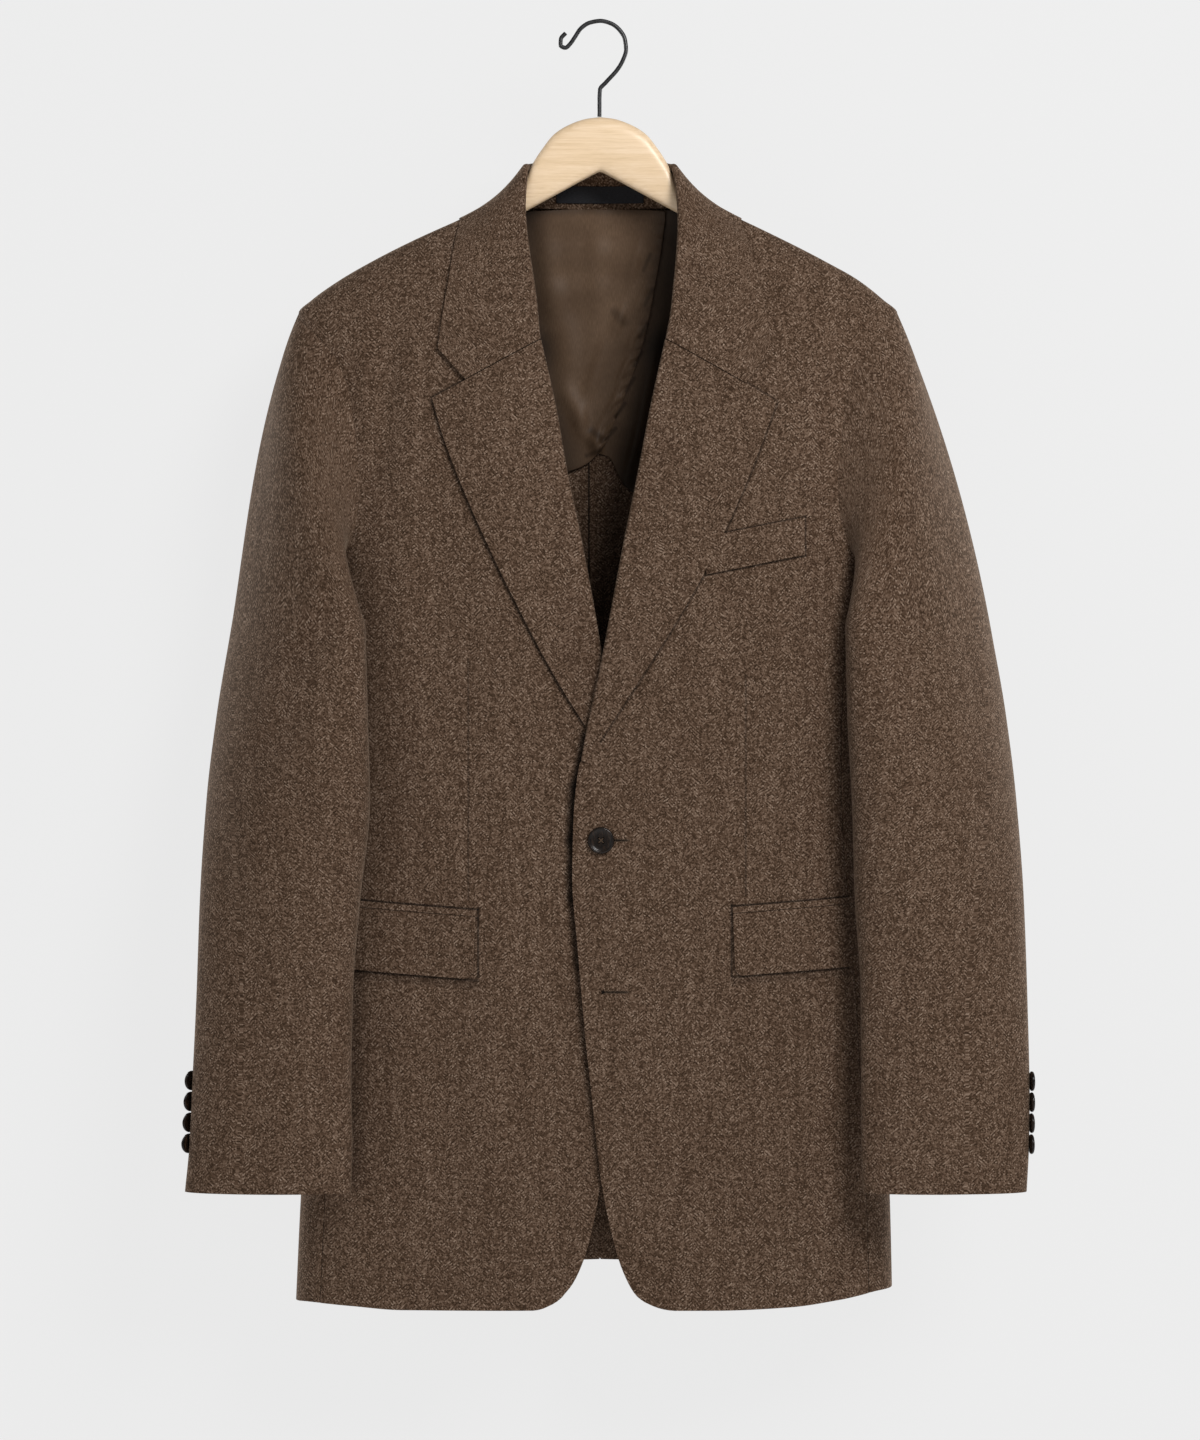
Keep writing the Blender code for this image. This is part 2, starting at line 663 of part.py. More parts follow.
def front_edge_places(side):
    """Neck seam, fold of the lapel and free front edge, from the neck point to the hem."""
    neck = rows_of(NECK_FRONT, "out", "up")
    upper = along(neck, np.array(ARMHOLE_SHARES))
    beside = fold_beside(side)[1:] + (FOLD_UNDER + 2 * SEAM_GAP, 0)
    sampled = np.concatenate([upper, beside, rows_of(FRONT_EDGE[side], "out", "up")])
    around = around_at(sampled[:, 0], sampled[:, 1], side, -1)
    around = np.where(sampled[:, 0] < 0, -side * np.abs(around), side * np.abs(around))
    around[0] = 0.5 * side
    return np.stack([around, sampled[:, 1]], -1)


# Panels of the body


def build_front(side, name, look):
    start = front_edge_places(side)
    armhole_part, seam = armhole_places(side, "front"), side_seam(side, "front")
    end = np.concatenate([armhole_part, seam[1:]])
    bottom = hem_line(-1, side, start[-1], end[-1], SHOULDER_STEPS + 1)
    places = patch(-1, side, shoulder_seam(side), bottom, start, end)
    mitre = armhole_ring(side)[2][: len(armhole_part)]
    rim = [(np.s_[: len(mitre), -1], mitre)]
    add_panel(name, side, places, ("top", "end"), look, rim)


def build_side(side, name, look):
    top = armhole_places(side, "under")
    start, end = side_seam(side, "front"), side_seam(side, "back")
    bottom = hem_line(-1, side, start[-1], end[-1], UNDERARM_STEPS + 1)
    places = patch(-1, side, top, bottom, start, end)
    count = len(armhole("front")) - 1
    mitre = armhole_ring(side)[2][count : count + UNDERARM_STEPS + 1]
    add_panel(name, side, places, ("top", "start", "end"), look, [(np.s_[0, :], mitre)])


def build_back(side, name, look):
    neck = along(rows_of(NECK_BACK, "out", "up"), np.linspace(1, 0, NECK_STEPS + 1))
    around = around_at(neck[:, 0], neck[:, 1], side, 1)
    around[-1], around[0] = 0.5 * side, side
    neckline = np.stack([around, neck[:, 1]], -1)
    top = np.concatenate([neckline[:-1], shoulder_seam(side)])
    armhole_part = armhole_places(side, "back")[::-1]
    end = np.concatenate([armhole_part, side_seam(side, "back")[1:]])
    start_up = np.concatenate(
        [
            mix(top[0, 1], UNDERARM_LEVEL, np.array(ARMHOLE_SHARES)),
            mix(UNDERARM_LEVEL, HEM["left"][-1], np.linspace(0, 1, LOWER_STEPS + 1)[1:]),
        ]
    )
    start = np.stack([np.full(len(start_up), float(side)), start_up], -1)
    bottom = hem_line(1, side, start[-1], end[-1], len(top))
    places = patch(1, side, top, bottom, start, end)
    ring = armhole_ring(side)[2]
    mitre = np.concatenate([ring[:1], ring[: -len(armhole_part) : -1]])
    rim = [(np.s_[: len(mitre), -1], mitre)]
    add_panel(name, side, places, ("top", "start", "end"), look, rim)


# Sleeves


def sleeve_section(side, up, heading):
    """A point of the sleeve's outside: heading 180 is its inner edge, 270 its front, 0 its outer."""
    name = "left" if side == LEFT else "right"
    inner, outer, front, back, lean = (
        smooth(up, SLEEVE["up"], SLEEVE[column])
        for column in ("in_" + name, "out_" + name, "front", "back", "lean")
    )
    turn = np.radians(heading)
    out = (inner + outer) / 2 + (outer - inner) / 2 * np.cos(turn)
    deep = (front + back) / 2 + (back - front) / 2 * np.sin(turn + np.radians(lean))
    lift = np.zeros(np.broadcast(up, heading).shape)
    for fold_side, fold_up, height, fold_heading, width, ridge in zip(*SLEEVE_FOLDS.values()):
        off = ((heading - fold_heading + 180) % 360 - 180) / width
        if fold_side == side:
            lift += ridge * np.exp(-((up - fold_up) / height) ** 2 - off**2)
    deep = deep + lift * np.sin(turn)
    return np.stack(np.broadcast_arrays(out * side, deep, up), -1)


def sleeve_headings(ring_count, front_seam, back_seam, lead):
    """The heading of each armhole point in a section, given where the two sleeve seams lie."""
    top_count = (front_seam - back_seam) % ring_count
    headings = np.zeros(ring_count)
    for k in range(ring_count):
        from_front = (front_seam - k) % ring_count
        if from_front <= top_count:
            headings[k] = 180 + (180 + lead) * from_front / top_count
        else:
            share = (from_front - top_count) / (ring_count - top_count)
            headings[k] = 360 + lead + (180 - lead) * share
    return headings


def sleeve_grid(side):
    """The sleeve's outside from the armhole to the cuff, a row for each height."""
    points, heading, mitre = armhole_ring(side)
    count = len(points)
    front_seam = len(armhole("front")) - 1
    back_seam = count - len(armhole("back")) + BACK_SEAM_STEPS_UP
    high = sleeve_headings(count, front_seam, back_seam, SEAM_LEAD_TOP)
    low = sleeve_headings(count, front_seam, back_seam, SEAM_LEAD_CUFF[side])
    below = []
    for up in SLEEVE_UPS:
        share = ease(np.array(-up), -SLEEVE_TOP, 760)
        ring = sleeve_section(side, np.full(count, float(up)), mix(high, low, share))
        below.append(clear_of_body(ring, BODY_CLEARANCE))
    first, second = below[0], below[1]
    reach = np.linalg.norm(first - points, axis=1, keepdims=True)
    arrive = unit(second - first) * reach * 0.9
    leave = heading * reach * 0.9
    cap = []
    for v in np.linspace(0, 1, CAP_STEPS + 1)[:-1]:
        blend = (2 * v**3 - 3 * v**2 + 1) * points + (v**3 - 2 * v**2 + v) * leave
        blend = blend + (3 * v**2 - 2 * v**3) * first + (v**3 - v**2) * arrive
        cap.append(clear_of_body(blend, mix(0.4, BODY_CLEARANCE, ease(v, 0, 0.7))) if v else blend)
    grid = np.array(cap + below)
    return grid, mitre, front_seam, back_seam


def grid_normals(grid, closed):
    """Unit normals of a grid, which may close on itself along its columns."""
    if closed:
        along_columns = np.roll(grid, -1, 1) - np.roll(grid, 1, 1)
    else:
        along_columns = np.gradient(grid, axis=1)
    return unit(np.cross(along_columns, np.gradient(grid, axis=0)))


def build_sleeve(side, names, look):
    grid, mitre, front_seam, back_seam = sleeve_grid(side)
    across = grid_normals(grid, closed=True)
    centre = grid.mean(1, keepdims=True)
    across *= np.sign(np.sum(across * (grid - centre), -1).mean())
    across[0] = mitre
    across[1] = unit(across[1] + 0.6 * mitre)
    across[2] = unit(across[2] + 0.2 * mitre)
    count = grid.shape[1]
    top_count = (front_seam - back_seam) % count
    top = [(front_seam - k) % count for k in range(top_count + 1)]
    under = [(back_seam - k) % count for k in range(count - top_count + 1)]
    for name, columns in zip(names, (top, under)):
        outer = grid[:, columns]
        inner = outer - CLOTH * across[:, columns]
        add_wall(name, *trimmed(outer, inner, ("top", "start", "end")), look)
    return grid, across, back_seam


# Collar and lapels


def fold_section(width, lift_end, steps):
    """Middle of the cloth across a folded edge: distance from the fold, height over the panel."""
    wall = FACING / 2
    turn = np.radians(np.linspace(-90, -270, 5))
    centre, height = FOLD_RADIUS + wall, FOLD_RADIUS - CLOTH / 2
    from_fold = np.concatenate([[FOLD_UNDER], centre + FOLD_RADIUS * np.cos(turn)])
    over = np.concatenate([[-CLOTH / 2], height + FOLD_RADIUS * np.sin(turn)])
    shares = np.linspace(0, 1, steps + 1)[1:]
    from_fold = np.concatenate([from_fold, mix(centre, width, shares)])
    over = np.concatenate([over, mix(over[-1], lift_end, shares)])
    return from_fold, over


def add_sheet(name, middle, wall, look, edges=()):
    """A wall of even thickness about a grid of middle points."""
    across = grid_normals(middle, closed=False) * wall / 2
    return add_wall(name, *trimmed(middle + across, middle - across, edges), look)


def fold_beside(side):
    """Points down the fold of the lapel, at the heights that divide the front."""
    fold = FOLD_LINE[side]
    order = np.argsort(fold["up"])
    ups = np.array((-241, *FOLD_UPS))
    return np.stack([smooth(ups, fold["up"][order], fold["out"][order]), ups], -1)


def build_lapel(side, name, look):
    chords = fold_beside(side)
    fold = np.concatenate([chords, (chords[1:] + chords[:-1]) / 2])
    fold = fold[np.argsort(-fold[:, 1])]
    edge = along(rows_of(LAPEL_EDGE[side], "out", "up"), knots(fold))
    rows = []
    for start, end in zip(fold, edge):
        width = np.linalg.norm(end - start)
        from_fold, over = fold_section(width, LAPEL_LIFT, 5)
        view = start + np.outer(from_fold / width, end - start)
        level = front_point(side, view[:, 0], view[:, 1])
        level[:, 1] -= over
        rows.append(level)
    add_sheet(name, np.array(rows), FACING, look, ("top",))


def collar_stations():
    """Shares of the collar and the points of the neck seam, from centre back to the gorge."""
    back = along(rows_of(NECK_BACK, "out", "up")[::-1], np.linspace(0, 1, NECK_STEPS + 1))
    front = along(rows_of(NECK_FRONT, "out", "up"), np.array(ARMHOLE_SHARES))
    shares = np.linspace(0, NECK_POINT, NECK_STEPS + 1)
    stations = [(share, out, up, 1) for share, (out, up) in zip(shares, back)]
    stations.insert(-1, (*((np.array(stations[-2]) + stations[-1]) / 2)[:3], 1))
    for k in COLLAR_FRONT_STATIONS:
        stations.append((mix(NECK_POINT, 1, ARMHOLE_SHARES[k]), *front[k], -1))
    return stations


def collar_half(side):
    """Sections of the collar from centre back to one gorge, as rows of middle points."""
    name = "left" if side == LEFT else "right"
    fold_line = FOLD_LINE[side]
    order = np.argsort(fold_line["up"])
    sections = []
    for share, out, up, face in collar_stations():
        read = {key: float(smooth(share, COLLAR["share"], COLLAR[key])) for key in COLLAR}
        fold = np.array([read["fold_out"] * side, read["fold_deep"], read["fold_up"]])
        if share > NECK_POINT:
            seen = smooth(fold[2], fold_line["up"][order], fold_line["out"][order])
            seen = (seen + FOLD_RADIUS + FACING / 2) * side
            fold[0] = mix(fold[0], seen, ease(share, NECK_POINT, 0.5))
        edge = np.array([read["edge_" + name] * side, read["edge_deep"], read["edge_up"]])
        seam_around = 0.5 * side if share == NECK_POINT else around_at(out, up, side, face)
        seam = moved_out(panel_surface(side), seam_around, up, -CLOTH / 2)
        turn = math.radians(read["turn"])
        outward = np.array([math.cos(turn) * side * 0.8, math.sin(turn), 0.6 * math.cos(turn)])
        if share > 0.6:
            level = front_point(side, abs(fold[0]), fold[2])[1] + CLOTH / 2 - FOLD_RADIUS
            fold[1] = mix(fold[1], level, ease(share, 0.6, 0.8))
        line = seam, fold, edge, unit(outward)
        sections.append(collar_section(side, share, read["swell"], *line))
    return sections


def collar_section(side, share, swell, seam, fold, edge, outward):
    to_edge = unit(edge - fold)
    to_edge = unit(to_edge - outward * (to_edge @ outward))
    turn = np.radians(np.linspace(-90, -270, 5))
    curve = [fold + FOLD_RADIUS * (math.cos(a) * to_edge + math.sin(a) * outward) for a in turn]
    gap = mix(STAND_GAP_BACK, STAND_GAP_FRONT, ease(share, 0.6, 0.95))
    start = seam + unit(curve[0] - seam) * gap
    stand = [mix(start, curve[0], s) for s in (0, 1 / 3, 2 / 3)]
    fall = []
    bend = np.array([NOTCH[side][0] * side, 0, NOTCH[side][1]]) - mix(fold, edge, 0.74)
    for s in (0.15, 0.35, 0.55, 0.74, 0.87, 1):
        point = mix(curve[-1], edge, s) + outward * swell * math.sin(math.pi * s)
        corner = np.interp(s, (0, 0.74, 1), (0, 1, 0)) * ease(share, 0.84, 1.0)
        point[0] += bend[0] * corner
        point[2] += bend[2] * corner
        fall.append(point)
    fall = clear_of_body(fall, mix(COLLAR_LIFT, LAPEL_LIFT, ease(share, 0.45, 0.7)))
    if share > 0.8:
        level = front_point(side, np.abs(fall[:, 0]), fall[:, 2])[:, 1] - LAPEL_LIFT
        fall[:, 1] = mix(fall[:, 1], level, ease(share, 0.8, 0.95))
    return [*stand, *curve, *fall]


def build_collar(name, look):
    right, left = collar_half(RIGHT), collar_half(LEFT)
    middle = np.array(right[::-1] + left[1:])
    add_sheet(name, middle, FACING, look, ("top", "bottom"))
    return middle


def build_label(collar, look):
    """On the inside of the collar's stand, at centre back."""
    stand = collar[len(collar) // 2]
    foot, top = stand[0], stand[3]
    ups = (LABEL_BOTTOM, LABEL_BOTTOM + LABEL_HEIGHT)
    xs = np.linspace(-LABEL_WIDTH / 2, LABEL_WIDTH / 2, 9)
    deep_rows = []
    for up in ups:
        share = (up - foot[2]) / (top[2] - foot[2])
        line = np.array([mix(row[0], row[3], share) for row in collar])
        line = line[np.argsort(line[:, 0])]
        line = line[(np.abs(line[:, 0]) < 50) & (line[:, 1] > 0)]
        deep_rows.append(np.interp(xs, line[:, 0], line[:, 1]))
    back = np.array([[(x, deep - FACING / 2 - 2 * SEAM_GAP, up) for x, deep in zip(xs, deeps)]
                     for up, deeps in zip(ups, deep_rows)])  # fmt: skip
    front = back - np.array([0, LABEL_WALL, 0])
    add_wall("neck_label", front, back, look)


# Pockets


def add_laid_piece(name, side, places, look, lift=LAID_GAP, wall=FACING):
    """A piece that lies on a panel, from its grid of places around and up."""
    surface = panel_surface(side)
    around, up = places[..., 0], places[..., 1]
    across = normals(surface, around, up)
    inner = surface(around, up) + lift * across
    add_wall(name, inner + wall * across, inner, look)


def pocket_places(side, drop_top, drop_bottom, rows, corner=0.0):
    """A strip that follows the pocket's slope, between two drops below its line."""
    out, up = POCKET[side]["out"], POCKET[side]["up"]
    start = side * around_at(out, up, 1, -1)
    shares = np.array([0, 0.035, 0.2, 0.36, 0.52, 0.66, 0.78, 0.9, 1])
    around = mix(abs(float(start)), POCKET_END_SHARE, shares)
    run = np.array([0, *np.cumsum(np.linalg.norm(np.diff(body(around * side, up), axis=0), axis=1))])
    grid = []
    for v in np.linspace(0, 1, rows + 1):
        drop = mix(drop_top, drop_bottom, v)
        ups = up + run * POCKET_RISE - drop
        if v == 1:
            ups = ups + np.where(shares == 0, corner, 0)
        grid.append(np.stack([around * side, ups], -1))
    return np.array(grid)


def build_pocket(side, name, look):
    add_laid_piece("flap_" + name, side, pocket_places(side, 0, FLAP_HEIGHT, 3, FLAP_CORNER), look)
    jet = pocket_places(side, -SEAM_GAP - JET_HEIGHT, -SEAM_GAP, 1)
    add_laid_piece("jet_" + name, side, jet, look)


def build_welt(look):
    outs = np.linspace(WELT["inner"], WELT["outer"], 6)
    tops = WELT["up"] - (WELT["outer"] - outs) * WELT["rise"]
    grid = []
    for v in np.linspace(0, 1, 3):
        ups = tops - WELT["height"] * v
        grid.append(np.stack([around_at(outs, ups, LEFT, -1), ups], -1))
    add_laid_piece("breast_welt", LEFT, np.array(grid), look, lift=0.5, wall=1.4)


# Buttons


def button_points(diameter, sides, profile):
    """Rings of a turned disc about +Z, from the middle of its back to the middle of its face."""
    turn = np.linspace(0, 2 * math.pi, sides, endpoint=False)
    circle = np.stack([np.cos(turn), np.sin(turn), np.zeros(sides)], -1)
    rings = [circle * share * diameter / 2 + (0, 0, height) for share, height in profile]
    return np.array(rings)


def add_button(name, centre, facing, diameter, look, profile, sides):
    rings = button_points(diameter, sides, profile)
    index = np.arange(rings.shape[0] * sides).reshape(-1, sides)
    faces = [tuple(int(i) for i in index[0][::-1]), tuple(int(i) for i in index[-1])]
    for low, high in zip(index, index[1:]):
        for k in range(sides):
            m = (k + 1) % sides
            faces.append((int(low[k]), int(low[m]), int(high[m]), int(high[k])))
    facing = unit(np.array(facing, float))
    beside = unit(np.cross((0, 0, 1), facing))
    points = rings.reshape(-1, 3) @ np.stack([beside, np.cross(facing, beside), facing]) + centre
    return add_mesh(name, points, faces, look)


def drill(button, centre):
    """Four thread holes through a button that faces the front."""
    for x in (-1, 1):
        for up in (-1, 1):
            offset = np.array([x, 0, up]) * BUTTON_HOLE_SPACING / 2
            bpy.ops.mesh.primitive_cylinder_add(
                vertices=6,
                radius=THREAD_HOLE / 2 * MM,
                depth=16 * MM,
                location=(centre + offset) * MM,
                rotation=(math.pi / 2, 0, 0),
            )
            cutter = bpy.context.object
            cutter.hide_render = True
            cutter.display_type = "WIRE"
            cut = button.modifiers.new("thread_hole", "BOOLEAN")
            cut.operation = "DIFFERENCE"
            cut.object = cutter


def build_front_buttons(look):
    x, up = FRONT_BUTTON_AT
    top = front_point(LEFT, x, up)
    centre = top - (0, SEAM_GAP + 0.2, 0)
    button = add_button(
        "front_button", centre, (0, -1, 0), FRONT_BUTTON, look, BUTTON_PROFILE, 16
    )
    drill(button, centre)
    x, up = LOWER_BUTTON_AT
    under = front_point(RIGHT, -x, up)
    centre = under - (0, SEAM_GAP + 0.4, 0)
    add_button("lower_button", centre, (0, -1, 0), FRONT_BUTTON, look, PLAIN_PROFILE, 14)


def build_cuff_buttons(side, name, grid, across, column, look):
    """Four in a row up the sleeve, beside its back seam."""
    ups = grid[:, column, 2]
    order = np.argsort(ups)
    for k in range(4):
        up = LOWEST_CUFF_BUTTON + k * CUFF_BUTTON_PITCH
        point = np.array([np.interp(up, ups[order], grid[order, column, i]) for i in range(3)])
        facing = np.array([np.interp(up, ups[order], across[order, column, i]) for i in range(3)])
        facing = unit(facing * (1, 1, 0))
        centre = point + facing * (SEAM_GAP + 0.25)
        add_button(f"cuff_button_{name}_{k + 1}", centre, facing, CUFF_BUTTON, look, CUFF_PROFILE, 10)


# Lining of the back, inside the neck


def shoulder_up(out):
    """Height of the shoulder line at a distance from the centre."""
    ups = np.linspace(TIP_UP, NECK_UP, 60)
    return np.interp(-np.asarray(out), -half_width(LEFT, ups), ups)


def back_inside(x, up, depth):
    side = np.where(np.asarray(x) < 0, -1, 1)
    around = np.where(side < 0, around_at(np.abs(x), up, -1, 1), around_at(np.abs(x), up, 1, 1))
    return moved_out(body, around, up, -depth)


def build_lining(side, name, look):
    hem = rows_of(LINING_HEM[side], "out", "up")
    overlap = rows_of(LINING_OVERLAP_EDGE, "out", "up") * (side, 1)
    columns = np.linspace(0, 1, 9)
    if side == RIGHT:
        bottom = along(hem[::-1], columns)
        start = along(overlap, columns)
    else:
        bottom = along(hem, columns)
        start = along(rows_of(LINING_INNER_EDGE, "out", "up"), columns)
    outs = mix(start[0, 0], LINING_SIDE, columns)
    high = np.minimum(LINING_TOP, shoulder_up(np.abs(outs)) - LINING_BELOW_SHOULDER)
    top = np.stack([outs, high], -1)
    end = along([top[-1], bottom[-1]], columns)
    start[0], start[-1] = top[0], bottom[0]
    view = coons(top, bottom, start, end)
    x, up = view[..., 0] * side, view[..., 1]
    outer = back_inside(x, up, LINING_DEPTH[side])
    inner = back_inside(x, up, LINING_DEPTH[side] + SATIN)
    add_wall(name, inner, outer, look)


# Hanger


def build_wood(look):
    """Rings of the wooden hanger along X, round its section."""
    stations = [-x for x in WOOD_STATIONS[:0:-1]] + list(WOOD_STATIONS)
    rings = []
    down, half = WOOD_SECTION["down"], WOOD_SECTION["half"]
    full = down[-1]
    for x in stations:
        out = abs(x)
        under = smooth(out, ARM_UNDER_SHOULDER["out"], ARM_UNDER_SHOULDER["down"])
        arm = shoulder_up(out) - under
        top = float(smooth(out, DOME["out"], DOME["up"]) if out < 80 else arm)
        bottom = WOOD_BOTTOM - WOOD_BOTTOM_SLOPE * (math.hypot(out, 7) - 7)
        bottom = max(bottom, top - 60) if out < 60 else bottom
        height = top - bottom
        slim = float(smooth(out, WOOD_SLIMNESS["out"], WOOD_SLIMNESS["by"]))
        upper = [(-half[i] * slim, top - down[i] * min(1, height / full)) for i in range(4)]
        lower = [
            (-half[i] * slim, bottom + (full - down[i]) * min(1, height / full)) for i in (4, 5)
        ]
        left_side = upper + lower
        right_side = [(-deep, up) for deep, up in left_side[::-1]]
        rings.append([(x, deep, up) for deep, up in left_side + right_side])
    rings = np.array(rings)
    count = rings.shape[1]
    index = np.arange(rings.shape[0] * count).reshape(-1, count)
    faces = [tuple(int(i) for i in index[0]), tuple(int(i) for i in index[-1][::-1])]
    for low, high in zip(index, index[1:]):
        for k in range(count):
            m = (k + 1) % count
            faces.append((int(low[k]), int(high[k]), int(high[m]), int(low[m])))
    add_mesh("hanger_wood", rings.reshape(-1, 3), faces, look)


def build_hook(look):
    turn = np.radians(np.linspace(HOOK_FROM, HOOK_TO, 9))
    arc = np.stack([np.cos(turn), np.sin(turn)], -1) * HOOK_RADIUS + HOOK_CENTRE
    line = np.concatenate([HOOK_STEM, arc, HOOK_CURL])
    points = along(line, np.linspace(0, 1, HOOK_POINTS))
    curve = bpy.data.curves.new("hanger_hook", "CURVE")
    curve.dimensions = "3D"
    curve.bevel_depth = WIRE / 2 * MM
    curve.bevel_resolution = 2
    curve.use_fill_caps = True
    spline = curve.splines.new("POLY")
    spline.points.add(len(points) - 1)
    for target, (x, up) in zip(spline.points, points):
        target.co = (x * MM, 0, up * MM, 1)
    curve.materials.append(look)
    made = bpy.data.objects.new("hanger_hook", curve)
    bpy.context.scene.collection.objects.link(made)


def main():
    for old in list(bpy.data.objects):
        bpy.data.objects.remove(old)
    flannel = material("brown flannel", FLANNEL)
    facing = material("brown flannel facing", FLANNEL_DARK)
    satin = material("brown satin", SATIN_BROWN, 0.4)
    horn = material("dark horn", HORN, 0.35)
    for side, name in ((RIGHT, "right"), (LEFT, "left")):
        build_front(side, "front_" + name, flannel)
        build_side(side, "side_" + name, flannel)
        build_back(side, "back_" + name, flannel)
        sleeve = build_sleeve(side, ("top_sleeve_" + name, "under_sleeve_" + name), flannel)
        build_cuff_buttons(side, name, *sleeve, horn)
        build_lapel(side, "lapel_" + name, facing)
        build_pocket(side, name, flannel)
        build_lining(side, "back_lining_" + name, satin)
    collar = build_collar("collar", facing)
    build_label(collar, material("woven label", LABEL_CLOTH, 0.7))
    build_welt(flannel)
    build_front_buttons(horn)
    build_wood(material("beech", BEECH, 0.45))
    build_hook(material("black steel", BLACK_STEEL, 0.4, 0.8))


main()
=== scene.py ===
"""The looks of a flannel sport jacket on a plain wooden hanger, dressed over its fixed frame.

The frame's origin is inside the top of the hook, +Z is up and the front faces -Y. The tables
below are in millimetres: "out" runs from the centre line to either side, "deep" towards the back,
and "up" is the height. Each piece of cloth is a closed wall on the same surface as its solid, with
the creases of the worn cloth laid over it.
"""

import math

import bpy
import numpy as np
from mathutils import Matrix, Vector


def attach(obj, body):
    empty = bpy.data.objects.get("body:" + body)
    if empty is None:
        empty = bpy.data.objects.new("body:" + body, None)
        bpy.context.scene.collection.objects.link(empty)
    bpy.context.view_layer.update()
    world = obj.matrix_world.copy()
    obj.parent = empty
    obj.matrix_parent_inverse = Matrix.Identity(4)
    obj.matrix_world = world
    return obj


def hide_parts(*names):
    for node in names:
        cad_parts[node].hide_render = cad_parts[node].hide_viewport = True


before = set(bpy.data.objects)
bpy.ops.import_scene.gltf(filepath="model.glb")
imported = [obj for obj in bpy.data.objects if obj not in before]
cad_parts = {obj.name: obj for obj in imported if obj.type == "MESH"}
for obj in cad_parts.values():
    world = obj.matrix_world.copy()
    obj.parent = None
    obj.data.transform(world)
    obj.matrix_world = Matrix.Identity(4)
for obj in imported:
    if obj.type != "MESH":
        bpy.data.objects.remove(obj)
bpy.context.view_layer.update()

MM = 0.001
RIGHT, LEFT = -1, 1  # the wearer's sides, as signs of X
SIDE_NAME = {RIGHT: "right", LEFT: "left"}

# Cloth and gaps
CLOTH = 1.8  # the wall of a panel, flannel with its canvas
FACING = 1.6  # the wall of a collar, lapel, flap, jet or welt
WELT_WALL, WELT_LIFT = 1.4, 0.5  # of the breast welt, and how far it lies over the front
SATIN = 1.0
SOFT_EDGE = 0.45  # the rounding of a cut or turned edge of cloth
SEAM_GAP = 0.3
ARMHOLE_LAP = 0.45  # by which a sleeve goes over its seam, so that no light comes through
SEAM_SHOWN = 0.6  # the valley along a seam
LAID_GAP = 0.6  # between a panel and what lies on it
FOLD_RADIUS = 1.9  # of the middle of the cloth, where the lapels and the collar turn over
BREAK_UP, FLATTENS_OVER = -552.5, 70.0  # where the lapel ends, and over what height it flattens
BREAK_ROLL = 0.12  # the share of its set-back from the fold that the front's edge keeps there
FOLD_UNDER = 4.0  # how far the turned-under edge of a lapel reaches back from the fold
LAPEL_LIFT = LAID_GAP + 2.2  # from the front to the middle of a lapel's free edge
COLLAR_LIFT = 2.9  # from the shoulders to the middle of the collar's fall
STAND_GAP_BACK, STAND_GAP_FRONT = 1.6, 0.6  # from the neck seam to the foot of the collar's stand
LAID_APART = (61.0, 137.0)  # from one piece to the next, where they are cut from the cloth

# Buttons, hanger and label
FRONT_BUTTON = 20.0
CUFF_BUTTON = 14.5
BUTTON_HOLE_SPACING, THREAD_HOLE = 3.2, 1.8
HOLE_DEPTH = 16  # of the drill, which goes right through
STRAND, STRAND_UP = 0.42, 2.75  # the radius of the thread over a button, and its height
WIRE = 3.2
LABEL_WIDTH, LABEL_HEIGHT, LABEL_WALL = 66.0, 13.0, 1.0
LABEL_BOTTOM = -131.5
LABEL_REACH = 50  # how far out the stand is followed for it

# Turned profiles of the buttons: share of the radius, and height over the cloth
BUTTON_PROFILE = (
    (0.74, 0), (0.9, 0.35), (0.98, 1.0), (1, 1.7), (0.99, 2.5), (0.955, 3.1), (0.9, 3.45),
    (0.86, 3.5), (0.81, 3.3), (0.75, 2.85), (0.68, 2.6), (0.5, 2.42), (0.2, 2.36),
)
CUFF_PROFILE = (
    (0.76, 0), (0.93, 0.3), (1, 0.9), (1, 1.5), (0.965, 2.15), (0.9, 2.45), (0.84, 2.5),
    (0.76, 2.25), (0.66, 1.95), (0.4, 1.8), (0.15, 1.78),
)

# How much finer than the solids the cloth is divided
FINER = 6
SHOULDER_STEPS, NECK_STEPS, LOWER_STEPS = 11 * FINER, 4 * FINER, 18 * FINER
UNDERARM_STEPS, CAP_STEPS = 4 * FINER, 7 * FINER
MITRE_ROWS = 3 * FINER  # of a sleeve, over which its wall turns from the seam's mitre
SEAM_SHARES = (0, 0.03, 0.075, 0.135, 0.215, 0.32, 0.44, 0.575, 0.72, 0.87, 1)
ROUND = np.arange(-16, 75) / 100  # places round a section, from the centre of one face
HALF_ROUND = 500  # mm, about, from centre front round to centre back
TURN_POINTS = 9  # round the fold of a lapel or of the collar
STAND_POINTS = 8
GORGE_GAP, GORGE_ROWS = 0.5, 9
LAPEL_GRAIN = 9  # degrees by which the cloth of a lapel is turned, along its fold
LAPEL_STEPS = 26


def table(columns, *rows):
    """Named columns, with a row for each section or point."""
    return dict(zip(columns.split(), np.array(rows, float).T))


